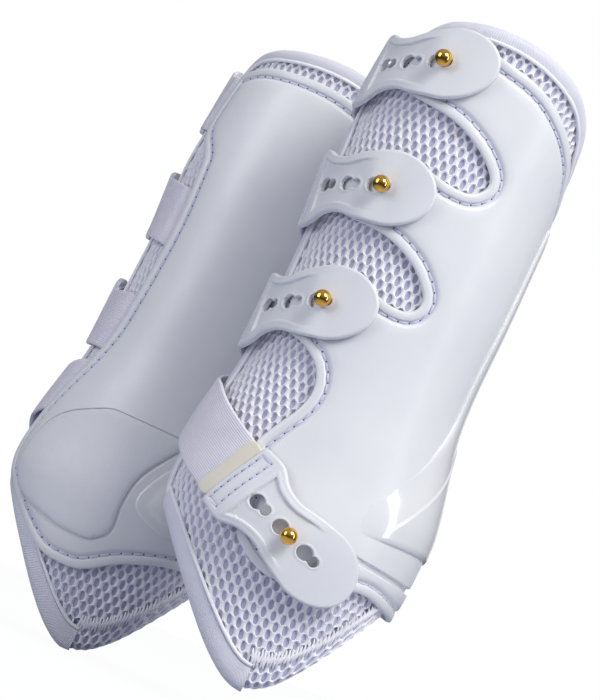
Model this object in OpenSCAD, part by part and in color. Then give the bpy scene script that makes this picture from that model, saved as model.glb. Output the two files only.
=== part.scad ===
// A pair of tendon boots for a horse's front legs. Each boot is a moulded shell over a padded
// liner, closed round the front of the leg by four elastic straps whose keyhole tabs hook on studs.
// Leg axis along Z, front of the leg towards -X, outer side of the left boot towards -Y.
// An angle round the leg is 0 on the outer side, 90 at the back, 180 on the inner side, -90 in front.

/* [Leg passage and outline] */
// Height of the top of the liner above the tips of the side lobes
liner_top = 301; // [285:1:320]
// Height of the fullest part, over the fetlock
fetlock_z = 66; // [60:1:72]
// Height of the narrowest part
waist_z = 140; // [130:1:150]
// Liner's reach forward of the leg axis at the fetlock
fetlock_front = 65; // [60:0.5:70]
// Liner's reach forward of the leg axis at the waist
waist_front = 55.5; // [52:0.5:60]
// Liner's reach forward of the leg axis at the top
top_front = 44; // [42:0.5:50]
// Liner's reach behind the leg axis at the fetlock
fetlock_back = 47; // [44:0.5:50]
// Liner's reach behind the leg axis at the waist
waist_back = 39.5; // [37:0.5:44]
// Liner's reach behind the leg axis at the top
top_back = 52; // [48:0.5:54]
// Half width of the liner at the fetlock
fetlock_half = 51; // [47:0.5:54]
// Half width of the liner at the waist
waist_half = 45.5; // [42:0.5:48]
// Half width of the liner at the top
top_half = 49; // [46:0.5:52]
// Rise of the lower rim from the lobe tips to the front
rim_front = 60; // [52:1:62]
// Rise of the lower rim from the lobe tips to the back
rim_back = 53; // [46:1:56]

/* [Liner] */
// Thickness of the spacer mesh
mesh_t = 2.2; // [1.5:0.1:3]
// Thickness of the foam
foam_t = 4.8; // [3:0.1:6]
// Thickness of the inner lining
lining_t = 0.8; // [0.5:0.1:1.2]
// Width of the binding tape on the outer face
binding_w = 6.5; // [5:0.1:8]
// Thickness of the binding tape
binding_t = 0.7; // [0.5:0.1:1]
// Height of the turned roll along the lower rim
roll_h = 13; // [10:0.5:15]
// Angle of the front opening between the two flaps
opening_angle = 6; // [4:0.5:10]

/* [Shell] */
// Thickness of the moulded shell
shell_t = 2.35; // [2:0.05:3]
// Thickness of the shell's thin sewn edge
shell_edge_t = 1.6; // [1.2:0.05:1.9]
// Thickness of the tendon guard on the back of the shell
guard_t = 1; // [0.6:0.1:2]
// Thickness of the strike pad over the inner side of the fetlock
strike_t = 0.8; // [0.5:0.1:1.5]

/* [Straps] */
// Width of the elastic
elastic_w = 30; // [26:0.5:32]
// Thickness of the elastic
elastic_t = 1.6; // [1.2:0.1:2]
// Length of a moulded tab
tab_l = 67.5; // [66:0.5:72]
// Thickness of a tab at its rim
tab_t = 2.6; // [2.2:0.1:3]
// Depth of the field inside a tab's rim
tab_recess = 0.5; // [0.3:0.1:0.8]
// Width of a tab at its sewn end
tab_sewn_w = 34.5; // [33:0.5:38]
// Width of a tab at its waist
tab_waist_w = 25.5; // [24.5:0.5:30]
// Width of a tab's round end
tab_round_w = 33.5; // [32:0.5:38]
// Length of the elastic that is sewn under a tab
tab_overlap = 11; // [9:0.5:12]
// Label tag's length across the elastic
label_l = 30; // [24:0.5:32]
// Label tag's width
label_w = 8.5; // [6:0.5:10]
// Label tag's thickness
label_t = 0.9; // [0.6:0.1:1.2]

/* [Keyholes and studs] */
// Diameter of a stud's ball
ball_d = 7.6; // [7:0.1:8]
// Diameter of a stud's neck
neck_d = 4.1; // [3.6:0.1:4.4]
// Diameter of the collar that seats a stud on the shell
collar_d = 6.2; // [5.5:0.1:7]
// Thickness of the collar
collar_t = 0.55; // [0.4:0.05:0.8]
// Diameter of the washer behind the shell
washer_d = 7; // [6:0.1:8]
// Thickness of the washer
washer_t = 0.4; // [0.3:0.05:0.45]
// Play of the neck in the narrow end of a keyhole
neck_play = 0.6; // [0.5:0.1:0.8]
// Diameter of the wide end of a keyhole
keyhole_wide = 6.5; // [6:0.1:7]
// Distance between the centres of a keyhole's two ends
keyhole_step = 4.6; // [4:0.1:5]
// Distance between keyholes along a tab
keyhole_pitch = 13.2; // [12.5:0.1:13.5]
// Keyholes in a tab
keyhole_count = 3; // [2:1:3]

/* [Pair] */
// Distance between the leg axes across the pair
pair_apart = 122; // [116:1:140]
// How far the right boot is set forward of the left one
pair_forward = 78; // [0:1:90]
// How much more the right boot leans back at its top, in degrees
pair_lean = 2.5; // [0:0.5:5]
// How much lower the right boot lies than the left one
pair_drop = 16; // [0:1:20]

/* [Hidden] */
// Clearances: between the liner's layers, under the shell, between rigid faces, under a curved skin,
// under the binding tape, above the roll, under a tab, between sewn pieces, at a strap's fold
layer_gap = 0.1;
under_shell = 1.3;
face_gap = 0.25;
skin_gap = 0.6;
tape_gap = 0.55;
roll_gap = 0.8;
under_tab = 0.35;
sewn_gap = 0.4;
fold_gap = 0.2;

// Offsets of the layers from the outer face of the spacer mesh
foam_out = -mesh_t - layer_gap;
lining_out = foam_out - foam_t - layer_gap;
lining_in = lining_out - lining_t;
shell_out = under_shell + shell_t;
guard_in = shell_out + skin_gap;
collar_out = shell_out + face_gap / 4 + collar_t;
tab_in = collar_out + under_tab;
tab_out = tab_in + tab_t;
elastic_out = tab_in - sewn_gap;
elastic_in = elastic_out - elastic_t;
over_shell = shell_out + sewn_gap - elastic_in;
ball_centre = tab_out + face_gap + ball_d / 2;
keyhole_narrow = neck_d + neck_play;
washer_seat = 0.15;

// Angles of the two front edges of the liner
flap_outer = -90 + opening_angle / 3;
flap_inner = 270 - opening_angle * 2 / 3;

// The shell's features above the waist are drawn for this height of the liner and spread out with it
drawn_top = 301;
function mix(a, b, t) = a + (b - a) * t;
function up(z) = z < waist_z ? z : mix(waist_z, z, (liner_top - waist_z) / (drawn_top - waist_z));
function spread_keys(pts) = [for (p = pts) [up(p[0]), p[1]]];
function spread_values(pts) = [for (p = pts) [p[0], up(p[1])]];

// Straps from the top down: stud angle, stud height, slope towards the free end,
// number of the keyhole in use counted from the free end, elastic between fold and tab,
// height at which the elastic leaves the shell's inner edge, lift where it crosses the shell's edge
straps = [
    [-27.5, up(280), 12, 0, 8, up(266), 0],
    [-26, up(220), 10, 0, 8, up(205), 0],
    [-29, up(165), 16, 0, 8, up(149), 0],
    [0, 66, -28, 1, 48, 115, over_shell]];

// Smooth curve through [key, value] points, where a value is a number or a vector
function span_of(t, pts, i = 0) =
    i >= len(pts) - 2 || t < pts[i + 1][0] ? i : span_of(t, pts, i + 1);
function slope_at(pts, i) =
    let (a = max(i - 1, 0), b = min(i + 1, len(pts) - 1))
    (pts[b][1] - pts[a][1]) / (pts[b][0] - pts[a][0]);
function curve(key, pts) =
    let (t = min(max(key, pts[0][0]), pts[len(pts) - 1][0]),
         i = span_of(t, pts),
         h = pts[i + 1][0] - pts[i][0],
         s = (t - pts[i][0]) / h)
    pts[i][1] * (1 - s) * (1 - s) * (1 + 2 * s) + pts[i + 1][1] * s * s * (3 - 2 * s)
    + (slope_at(pts, i) * (1 - s) - slope_at(pts, i + 1) * s) * h * s * (1 - s);
function ramp(t) = let (c = min(1, max(0, t))) c * c * (3 - 2 * c);

// Outline of the liner's outer face: front, back and half width at each height
low_z = 0;
front_line = [
    [low_z, 20 - fetlock_front], [fetlock_z, -fetlock_front],
    [fetlock_z + 29, 1.5 - fetlock_front], [waist_z, -waist_front],
    [waist_z + 60, 3.5 - waist_front], [liner_top - 61, 3.5 - waist_front],
    [liner_top, -top_front]];
back_line = [
    [low_z, fetlock_back - 9], [fetlock_z - 16, fetlock_back - 3], [fetlock_z + 14, fetlock_back],
    [fetlock_z + 32, fetlock_back - 1.5], [waist_z, waist_back], [waist_z + 50, waist_back + 2],
    [liner_top - 49, waist_back + 5], [liner_top, top_back]];
width_line = [
    [low_z, fetlock_half - 6], [fetlock_z, fetlock_half], [fetlock_z + 34, fetlock_half - 3],
    [waist_z, waist_half], [waist_z + 60, waist_half + 1], [liner_top, top_half]];
function centre_x(z) = (curve(z, front_line) + curve(z, back_line)) / 2;
function half_depth(z) = (curve(z, back_line) - curve(z, front_line)) / 2;
function half_width(z) = curve(z, width_line);

// Point at an angle and height, at a distance off the liner's outer face
function on_leg(a, z, off) =
    [centre_x(z) + (half_depth(z) + off) * sin(a), -(half_width(z) + off) * cos(a), z];
// Turn that points Z straight out of the surface
function facing(a, z) =
    let (n = cross(on_leg(a + 1, z, 0) - on_leg(a - 1, z, 0), on_leg(a, z + 1, 0) - on_leg(a, z - 1, 0)))
    [0, acos(n[2] / norm(n)), atan2(n[1], n[0])];
// Millimetres round the leg for each degree of angle
function per_degree(a, z) = norm([half_depth(z) * cos(a), half_width(z) * sin(a)]) * PI / 180;
// Angle of a point of the outer side seen straight from the side
function angle_of(x, z) = asin(min(1, max(-1, (x - centre_x(z)) / half_depth(z))));

// Lower rim and top edge of the liner: height at an angle
function rim(a) = (sin(a) < 0 ? rim_front : rim_back) * pow(sin(a), 2);
top_drop = [
    [-90, 45], [-74, 22], [-57, 9], [-42, 1.5], [0, 0], [40, 9], [63, 21], [80, 36], [90, 40],
    [100, 36], [117, 21], [140, 9], [180, 0], [232, 2], [250, 7], [260, 16], [270, 32]];
function liner_high(a) = liner_top - curve(a, top_drop);
// The roll runs round the back between the lobe tips, so the layers end above it there
roll_ramp = 7;
function liner_low(a) =
    rim(a) + (roll_h + roll_gap) * ramp(min(a, 180 - a) / roll_ramp + 1);

// Solid lofted through rings of points; ring point j faces ring point n-1-j across the wall,
// and the two faces are split along the same diagonals, so that layers stay parallel
module loft(rings) {
    n = len(rings[0]);
    last = len(rings) - 1;
    sides = [for (r = [0:last - 1], j = [0:n - 1])
        let (k = (j + 1) % n, a = r * n + j, b = r * n + k, c = b + n, d = a + n)
        each (j < n / 2 ? [[a, b, c], [a, c, d]] : [[a, b, d], [b, c, d]])];
    caps = [for (j = [0:n / 2 - 2])
        let (k = n - 2 - j, m = last * n)
        each [[j, k + 1, k], [j, k, j + 1], [m + j, m + j + 1, m + k], [m + j, m + k, m + k + 1]]];
    polyhedron([for (ring = rings) each ring], concat(sides, caps), convexity = 10);
}
// Ring through a wall: up its outer face and down its inner face
function wall_ring(outer, inner) =
    concat(outer, [for (i = [len(inner) - 1:-1:0]) inner[i]]);

// One layer of the liner between two offsets
liner_rows = 10;
roll_cols = 10;
flap_cols = 4;
tip_outer = -roll_ramp;
tip_inner = 180 + roll_ramp;
roll_angles = [for (i = [0:roll_cols]) 180 * i / roll_cols];
liner_angles = concat(
    [for (i = [0:flap_cols]) mix(flap_outer, tip_outer, i / flap_cols)],
    roll_angles,
    [for (i = [0:flap_cols]) mix(tip_inner, flap_inner, i / flap_cols)]);
function liner_place(a, j) = [a, mix(liner_low(a), liner_high(a), j / liner_rows)];
function liner_line(a, off) =
    [for (j = [0:liner_rows]) let (p = liner_place(a, j)) on_leg(p[0], p[1], off)];
module liner_layer(out, in)
    loft([for (a = liner_angles) wall_ring(liner_line(a, out), liner_line(a, in))]);
module spacer_mesh() color("lavender") liner_layer(0, -mesh_t);
module foam_pad() color("whitesmoke") liner_layer(foam_out, foam_out - foam_t);
module inner_lining() color("ghostwhite") liner_layer(lining_out, lining_in);

// Roll along the lower rim: the mesh turned under and padded
roll_section = [
    [1, 0], [0.45, 0], [0.15, 0.07], [0, 0.3], [0, 0.7], [0.15, 0.93], [0.45, 1], [1, 1]];
module lower_roll() color("lavender")
    loft([for (a = roll_angles)
        [for (p = roll_section)
            on_leg(a, rim(a) + roll_h * p[0], lining_in * (1 - p[1]))]]);

// Binding tape folded over the liner's edge, from one lobe tip over the top to the other
last_angle = len(liner_angles) - 1;
binding_path = concat(
    [for (i = [flap_cols:-1:1]) liner_place(liner_angles[i], 0)],
    [for (j = [0:liner_rows - 1]) liner_place(flap_outer, j)],
    [for (i = [0:last_angle - 1]) liner_place(liner_angles[i], liner_rows)],
    [for (j = [liner_rows:-1:1]) liner_place(flap_inner, j)],
    [for (i = [last_angle:-1:last_angle - flap_cols]) liner_place(liner_angles[i], 0)]);
// Direction into the liner along its surface at one point of the path
function inward(path, i) =
    let (a = path[max(i - 1, 0)], b = path[min(i + 1, len(path) - 1)],
         d = [(b[0] - a[0]) * per_degree(path[i][0], path[i][1]), b[1] - a[1]])
    [d[1], -d[0]] / norm(d);
binding_out = tape_gap + binding_t;
binding_in = lining_in - 2 * tape_gap;
binding_edge = -2 * tape_gap;
binding_section = [
    [binding_w, binding_out], [binding_edge - binding_t, binding_out],
    [binding_edge - binding_t, binding_in - binding_t], [binding_w, binding_in - binding_t],
    [binding_w, binding_in], [binding_edge, binding_in],
    [binding_edge, tape_gap], [binding_w, tape_gap]];
module edge_binding() color("white")
    loft([for (i = [0:len(binding_path) - 1])
        let (p = binding_path[i], d = inward(binding_path, i))
        [for (q = binding_section)
            on_leg(p[0] + q[0] * d[0] / per_degree(p[0], p[1]), p[1] + q[0] * d[1], q[1])]]);

// Shell's front edges, height to distance in front of the leg axis on the outer side and
// height to angle on the inner side
outer_edge = spread_keys([
    [58, -29], [70, -32], [90, -34.5], [120, -42], [150, -47], [165, -48], [218, -46], [250, -44],
    [272, -41.5], [284, -38.5]]);
inner_edge = spread_keys([
    [60, 252], [72, 257], [88, 256], [105, 249], [130, 238], [150, 233], [235, 233],
    [248, 246], [258, 250], [284, 249]]);
// Shell's lower and top edges: angle to height
shell_low = [
    [-22, 58.5], [-18, 55], [-14.5, 52], [-9.5, 49.2], [-4, 47.4], [12, 47.5], [40, 55.5], [65, 52.5],
    [90, 50], [115, 52], [142, 53.5], [167, 46], [187, 35.5], [200, 34], [213, 36], [228, 45],
    [240, 54], [252, 62]];
shell_high = spread_values([
    [-58, 286], [-44, 290], [-22, 293], [-2, 289.5], [25, 283], [62, 265], [90, 245], [118, 265],
    [155, 283], [182, 289], [225, 289], [243, 285], [252, 280]]);
shell_cols = 24;
shell_rows = 22;
outer_low = outer_edge[0][0];
outer_high = outer_edge[len(outer_edge) - 1][0];
inner_low = shell_low[len(shell_low) - 1][1];
inner_high = shell_high[len(shell_high) - 1][1];
// Angles of a row's two ends, a share of the way up
function outer_at(up) =
    let (z = mix(outer_low, outer_high, up)) angle_of(curve(z, outer_edge), z);
function inner_at(up) = curve(mix(inner_low, inner_high, up), inner_edge);
// Angle and height a share of the way round and up the shell
function shell_place(round, up) =
    let (low = curve(mix(outer_at(0), inner_at(0), round), shell_low),
         high = curve(mix(outer_at(1), inner_at(1), round), shell_high))
    [mix(outer_at(up), inner_at(up), round), mix(low, high, up)];
module shell_wall()
    loft([for (k = [0:shell_cols])
        let (places = [for (i = [0:shell_rows]) shell_place(k / shell_cols, i / shell_rows)],
             end = k == 0 || k == shell_cols)
        wall_ring(
            [for (i = [0:shell_rows])
                let (edge = end || i == 0 || i == shell_rows)
                on_leg(places[i][0], places[i][1], edge ? under_shell + shell_edge_t : shell_out)],
            [for (p = places) on_leg(p[0], p[1], under_shell)])]);

// Mesh windows cut into the shell's outer front edge, between the tongues that carry the studs.
// Each outline runs up round the window, seen from the side, as [x, z].
windows = [for (outline = [
    [[-47, 228], [-37, 232], [-19, 234.6], [-4, 231], [6, 231], [11.8, 236.5], [10.5, 242.5],
     [1.5, 250.7], [-12, 257.7], [-33, 263.2], [-45, 268]],
    [[-50, 169], [-40, 174], [-20, 177], [-8, 173.6], [1, 173.7], [4.9, 179], [2.6, 185.5],
     [-6, 194], [-20, 200.8], [-38, 204], [-49, 209]],
    [[-42, 86], [-37, 97], [-31.4, 107.4], [-25.2, 117.9], [-22.6, 127.5], [-25.2, 137.1],
     [-32.8, 144.4], [-42.8, 148.6], [-51, 154]]]) spread_values(outline)];
window_left = -75;
window_points = 24;
function window_outline(w) =
    let (n = len(w) - 1, keyed = [for (i = [0:n]) [i / n, w[i]]])
    concat(
        [for (i = [0:window_points]) curve(i / window_points, keyed)],
        [[window_left, w[n][1]], [window_left, w[0][1]]]);
module shell() color([0.9, 0.91, 0.93])
    difference() {
        shell_wall();
        for (w = windows)
            rotate([90, 0, 0]) linear_extrude(height = fetlock_half * 2) polygon(window_outline(w));
        for (k = [0:len(straps) - 1])
            at_stud(k) translate([0, 0, -shell_t * 2])
                cylinder(h = shell_t * 3, d = keyhole_narrow, $fn = 40);
    }

// Raised guard up the back of the shell, with a wing on each side over the fetlock
guard_outer = spread_keys([
    [74, 33], [79, 27], [90, 26], [98, 33], [112, 46], [125, 57], [140, 67], [170, 70], [205, 74],
    [238, 77]]);
guard_inner = spread_keys([
    [64, 24], [70, 8], [80, 6], [98, 16], [120, 42], [140, 64], [170, 70], [205, 74], [238, 77]]);
guard_cols = 10;
guard_rows = 14;
guard_top = guard_outer[len(guard_outer) - 1][0];
guard_dip = 6;
module tendon_guard() color([0.93, 0.94, 0.96])
    loft([for (k = [0:guard_cols])
        let (u = k / guard_cols,
             low = mix(guard_outer[0][0], guard_inner[0][0], u) + guard_dip * sin(180 * u),
             line = [for (j = [0:guard_rows])
                let (z = mix(low, guard_top - guard_dip * sin(180 * u), pow(j / guard_rows, 1.6)))
                [mix(curve(z, guard_outer), 180 - curve(z, guard_inner), u), z]])
        wall_ring(
            [for (j = [0:guard_rows])
                let (edge = k == 0 || k == guard_cols || j == 0 || j == guard_rows)
                on_leg(line[j][0], line[j][1], guard_in + guard_t * (edge ? 0.3 : 1))],
            [for (j = [0:guard_rows]) on_leg(line[j][0], line[j][1], guard_in)])]);

// Textured strike pad over the inner side of the fetlock
strike_front = [[49, 205], [56, 232], [68, 243], [85, 241], [98, 230], [109, 205]];
strike_back = [[49, 188], [56, 180], [68, 180], [85, 178.5], [98, 171], [109, 163]];
strike_cols = 8;
strike_rows = 14;
strike_low = 49;
strike_high = 109;
module strike_pad() color([0.86, 0.87, 0.9])
    loft([for (k = [0:strike_cols])
        let (u = k / strike_cols,
             line = [for (j = [0:strike_rows])
                let (z = mix(strike_low, strike_high, (1 - cos(180 * j / strike_rows)) / 2))
                [mix(curve(z, strike_back), curve(z, strike_front), u), z]])
        wall_ring(
            [for (j = [0:strike_rows])
                let (edge = k == 0 || k == strike_cols || j == 0 || j == strike_rows)
                on_leg(line[j][0], line[j][1], guard_in + strike_t * (edge ? 0.4 : 1))],
            [for (j = [0:strike_rows]) on_leg(line[j][0], line[j][1], guard_in)])]);

// Distance of each keyhole's narrow end from the sewn end of its tab, counted from the free end
keyhole_first = tab_l - tab_round_w / 2 - 3.5;
function keyhole_at(i) = keyhole_first - i * keyhole_pitch;
function stud_at(k) = keyhole_at(straps[k][3]);
// Angle and height after going a distance along the surface at a slope
step_l = 2;
function walk(a, z, s, slope) =
    abs(s) < 0.001 ? [a, z] :
    let (h = sign(s) * min(abs(s), step_l))
    walk(a + h * cos(slope) / per_degree(a, z), z + h * sin(slope), s - h, slope);
// Place on strap k, a distance along from the tab's sewn end and a distance across
function strap_place(k, along, across) =
    let (s = straps[k], p = walk(s[0], s[1], along - stud_at(k), s[2]))
    [p[0] - across * sin(s[2]) / per_degree(p[0], p[1]), p[1] + across * cos(s[2])];
function strap_point(k, along, across, off) =
    let (p = strap_place(k, along, across)) on_leg(p[0], p[1], off + straps[k][6]);
// The fold that a strap swings about
function fold_at(k) = -straps[k][4];
function fold_point(k) = strap_point(k, fold_at(k), 0, elastic_out);
function fold_axis(k) =
    let (d = strap_point(k, fold_at(k), elastic_w / 2, elastic_out)
           - strap_point(k, fold_at(k), -elastic_w / 2, elastic_out))
    d / norm(d);

// Frame of stud k: origin on the shell's face, Z straight out
module at_stud(k)
    translate(on_leg(straps[k][0], straps[k][1], shell_out))
        rotate(facing(straps[k][0], straps[k][1])) children();
// Frame of a place on strap k
module on_strap(k, along) {
    p = strap_place(k, along, 0);
    translate(on_leg(p[0], p[1], tab_in + straps[k][6])) rotate(facing(p[0], p[1])) children();
}

// Strip of elastic along strap k
elastic_rows = 4;
function elastic_ring(k, along, out) =
    wall_ring(
        [for (j = [0:elastic_rows]) strap_point(k, along, elastic_w * (j / elastic_rows - 0.5), out)],
        [for (j = [0:elastic_rows])
            strap_point(k, along, elastic_w * (j / elastic_rows - 0.5), out - elastic_t)]);
module strap_band(k) color([0.88, 0.87, 0.93]) {
    steps = straps[k][4] > tab_overlap ? 12 : 5;
    loft([for (i = [0:steps])
        elastic_ring(k, mix(fold_at(k) + fold_gap, tab_overlap, i / steps), elastic_out)]);
}
// Elastic from the fold back to where it is sewn at the shell's inner edge
anchor_steps = 5;
module strap_anchor(k) color([0.88, 0.87, 0.93])
    loft([for (i = [0:anchor_steps])
        let (u = i / anchor_steps, z_mid = straps[k][5],
             places = [for (j = [0:elastic_rows])
                let (w = elastic_w * (j / elastic_rows - 0.5),
                     fold = strap_place(k, fold_at(k), w),
                     z = z_mid + w,
                     edge = curve(z, inner_edge) - 360 + 3 * face_gap / per_degree(-120, z))
                [mix(edge, fold[0], u), mix(z, fold[1], u)]],
             sewn = under_shell + elastic_t,
             out = mix(sewn, elastic_out + straps[k][6], ramp(u)))
        wall_ring(
            [for (p = places) on_leg(p[0], p[1], out)],
            [for (p = places) on_leg(p[0], p[1], out - elastic_t)])]);

// Moulded tab: sewn end, waist and round end with a raised rim
tab_widths = [
    [0, tab_sewn_w], [tab_overlap, tab_sewn_w + 1], [tab_overlap + 8, tab_waist_w + 2],
    [tab_overlap + 16, tab_waist_w], [keyhole_first - 12, tab_round_w - 4], [keyhole_first, tab_round_w]];
function tab_half(t) =
    t < keyhole_first ? curve(t, tab_widths) / 2 :
    tab_round_w / 2 * sqrt(max(0.004, 1 - pow((t - keyhole_first) / (tab_l - keyhole_first), 2)));
tab_steps = 14;
tab_across = [-1, -0.86, -0.74, 0, 0.74, 0.86, 1];
// Stations along the tab, closer together round its free end
function tab_station(i) =
    let (n = tab_steps - 5)
    i <= n ? keyhole_first * i / n : mix(keyhole_first, tab_l, sin(90 * (i - n) / 5));
module strap_tab(k) color([0.9, 0.92, 0.95])
    difference() {
        loft([for (i = [0:tab_steps])
            let (t = tab_station(i), half = tab_half(t))
            wall_ring(
                [for (w = tab_across)
                    let (rim_zone = abs(w) > 0.8 || t < tab_overlap || i == tab_steps)
                    strap_point(k, t, w * half, tab_out - (rim_zone ? 0 : tab_recess))],
                [for (w = tab_across) strap_point(k, t, w * half, tab_in)])]);
        for (i = [0:keyhole_count - 1]) {
            on_strap(k, keyhole_at(i)) keyhole_cut(keyhole_narrow);
            on_strap(k, keyhole_at(i) - keyhole_step) keyhole_cut(keyhole_wide);
        }
    }
module keyhole_cut(d)
    translate([0, 0, -tab_t]) cylinder(h = 3 * tab_t, d = d, $fn = 40);

// Ball stud: collar on the shell, neck through the keyhole, shank through the shell to its washer
module ball_stud(k) color([0.8, 0.6, 0.2])
    at_stud(k) {
        base = -shell_t - (under_shell - washer_seat);
        top = ball_centre - shell_out + straps[k][6];
        translate([0, 0, base]) cylinder(h = top - base, d = neck_d, $fn = 40);
        translate([0, 0, face_gap / 4]) cylinder(h = collar_t + straps[k][6], d = collar_d, $fn = 40);
        translate([0, 0, top]) sphere(d = ball_d, $fn = 40);
    }
module stud_washers() color("gainsboro")
    for (k = [0:len(straps) - 1])
        at_stud(k) translate([0, 0, -shell_t - under_shell + washer_seat])
            difference() {
                cylinder(h = washer_t, d = washer_d, $fn = 40);
                translate([0, 0, -washer_t]) cylinder(h = 3 * washer_t, d = neck_d + layer_gap, $fn = 40);
            }

// Plain tag folded flat on the lowest strap, beside its tab
label_steps = 4;
module strap_label(k) color("cornsilk")
    loft([for (i = [0:label_steps])
        let (along = mix(-label_w - face_gap, -face_gap, i / label_steps))
        wall_ring(
            [for (j = [0:elastic_rows])
                strap_point(k, along, label_l * (j / elastic_rows - 0.5), elastic_out + face_gap + label_t)],
            [for (j = [0:elastic_rows])
                strap_point(k, along, label_l * (j / elastic_rows - 0.5), elastic_out + face_gap)])]);

// The right boot is the left one mirrored, set beside it
module boot(side) {
    if (side == "left") children();
    else translate([-pair_forward, pair_apart, -pair_drop])
        rotate([0, pair_lean, 0]) mirror([0, 1, 0]) children();
}

sides = ["left", "right"];
strap_numbers = [1:len(straps)];

for (side = sides) boot(side) {
    shell();
    tendon_guard();
    strike_pad();
    spacer_mesh();
    foam_pad();
    inner_lining();
    edge_binding();
    lower_roll();
    stud_washers();
    strap_label(len(straps) - 1);
    for (n = strap_numbers) {
        strap_anchor(n - 1);
        strap_band(n - 1);
        strap_tab(n - 1);
        ball_stud(n - 1);
    }
}
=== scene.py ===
"""A pair of tendon boots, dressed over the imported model: moulded shells, spacer mesh, elastic and brass.

Every shape is worked out on the left boot, in millimetres, and the right boot is its mirror image.
An angle round the leg is 0 on the outer side, 90 at the back, 180 on the inner side and -90 in front.
"""

import math

import bpy
import numpy as np
from mathutils import Matrix, Vector
from mathutils.geometry import delaunay_2d_cdt
from mathutils.kdtree import KDTree


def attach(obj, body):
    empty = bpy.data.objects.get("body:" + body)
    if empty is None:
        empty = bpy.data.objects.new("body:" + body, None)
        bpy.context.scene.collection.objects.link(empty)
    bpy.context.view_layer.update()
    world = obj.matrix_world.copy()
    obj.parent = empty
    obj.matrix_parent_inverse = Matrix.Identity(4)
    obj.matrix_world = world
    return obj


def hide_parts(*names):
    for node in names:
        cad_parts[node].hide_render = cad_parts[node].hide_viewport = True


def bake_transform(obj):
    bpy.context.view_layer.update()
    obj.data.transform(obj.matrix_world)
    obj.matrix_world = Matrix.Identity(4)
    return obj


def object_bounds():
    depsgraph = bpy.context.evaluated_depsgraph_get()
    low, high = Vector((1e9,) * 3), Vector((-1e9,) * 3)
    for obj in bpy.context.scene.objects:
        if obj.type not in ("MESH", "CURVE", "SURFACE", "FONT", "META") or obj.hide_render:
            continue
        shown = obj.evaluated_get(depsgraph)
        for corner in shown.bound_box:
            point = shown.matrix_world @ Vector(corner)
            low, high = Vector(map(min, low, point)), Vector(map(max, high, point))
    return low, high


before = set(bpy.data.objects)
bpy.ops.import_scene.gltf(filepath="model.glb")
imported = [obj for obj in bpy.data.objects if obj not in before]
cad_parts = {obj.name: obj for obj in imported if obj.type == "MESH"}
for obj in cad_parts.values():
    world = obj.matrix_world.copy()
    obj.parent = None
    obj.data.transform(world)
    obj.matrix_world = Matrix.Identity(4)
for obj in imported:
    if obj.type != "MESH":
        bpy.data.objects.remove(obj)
cad_box = [list(corner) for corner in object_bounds()]
scene = bpy.context.scene

MM = 0.001
SIDES = ("left", "right")

# Sizes of the boot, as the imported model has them
LINER_TOP = 301
FETLOCK_Z, WAIST_Z = 66, 140
FETLOCK_FRONT, WAIST_FRONT, TOP_FRONT = 65, 55.5, 44
FETLOCK_BACK, WAIST_BACK, TOP_BACK = 47, 39.5, 52
FETLOCK_HALF, WAIST_HALF, TOP_HALF = 51, 45.5, 49
RIM_FRONT, RIM_BACK = 60, 53
FLAP_OUTER, FLAP_INNER = -88, 266
ROLL_H, ROLL_GAP, ROLL_RAMP = 13, 0.8, 7
UNDER_SHELL, SHELL_T = 1.3, 2.35
FOAM_OUT, LINING_OUT, LINING_IN = -2.3, -7.2, -8.0
ELASTIC_W, ELASTIC_T = 30, 1.6
ELASTIC_OUT, TAB_IN, TAB_T = 4.21, 4.61, 2.6
TAB_L, TAB_SEWN_W, TAB_WAIST_W, TAB_ROUND_W, TAB_OVERLAP = 67.5, 34.5, 25.5, 33.5, 11
KEYHOLE_PITCH, KEYHOLE_STEP, KEYHOLE_COUNT = 13.2, 4.6, 3
KEYHOLE_NARROW, KEYHOLE_WIDE = 4.7, 6.5
BALL_D, NECK_D, COLLAR_D, COLLAR_T, BALL_GAP = 7.6, 4.1, 6.2, 0.55, 0.25
LABEL_L, LABEL_T = 30, 0.9
PAIR_FORWARD, PAIR_APART, PAIR_LEAN, PAIR_DROP = 78, 122, 2.5, 16
OVER_SHELL = UNDER_SHELL + SHELL_T + 0.4 - (ELASTIC_OUT - ELASTIC_T)
# Straps from the top down: stud angle and height, slope, keyhole in use counted from the free end,
# elastic between fold and tab, height at the shell's inner edge, lift over the shell's edge
STRAPS = (
    (-27.5, 280, 12, 0, 8, 266, 0),
    (-26, 220, 10, 0, 8, 205, 0),
    (-29, 165, 16, 0, 8, 149, 0),
    (0, 66, -28, 1, 48, 115, OVER_SHELL))


# Lines and places on the leg

def curve(points):
    """Smooth curve through (key, value) points, as a function of one number or of many."""
    keys = np.array([p[0] for p in points], float)
    values = np.array([p[1] for p in points], float)
    order = np.arange(len(keys))
    before, after = np.maximum(order - 1, 0), np.minimum(order + 1, len(keys) - 1)
    run = keys[after] - keys[before]
    slopes = (values[after] - values[before]) / (run[:, None] if values.ndim > 1 else run)

    def at(t):
        t = np.clip(np.asarray(t, float), keys[0], keys[-1])
        i = np.clip(np.searchsorted(keys, t, side="right") - 1, 0, len(keys) - 2)
        h = keys[i + 1] - keys[i]
        s = (t - keys[i]) / h
        if values.ndim > 1:
            s, h = s[..., None], h[..., None]
        ends = values[i] * (1 - s) ** 2 * (1 + 2 * s) + values[i + 1] * s * s * (3 - 2 * s)
        return ends + (slopes[i] * (1 - s) - slopes[i + 1] * s) * h * s * (1 - s)
    return at


def mix(a, b, t):
    return a + (b - a) * t


def ramp(t):
    t = np.clip(t, 0, 1)
    return t * t * (3 - 2 * t)


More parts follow.
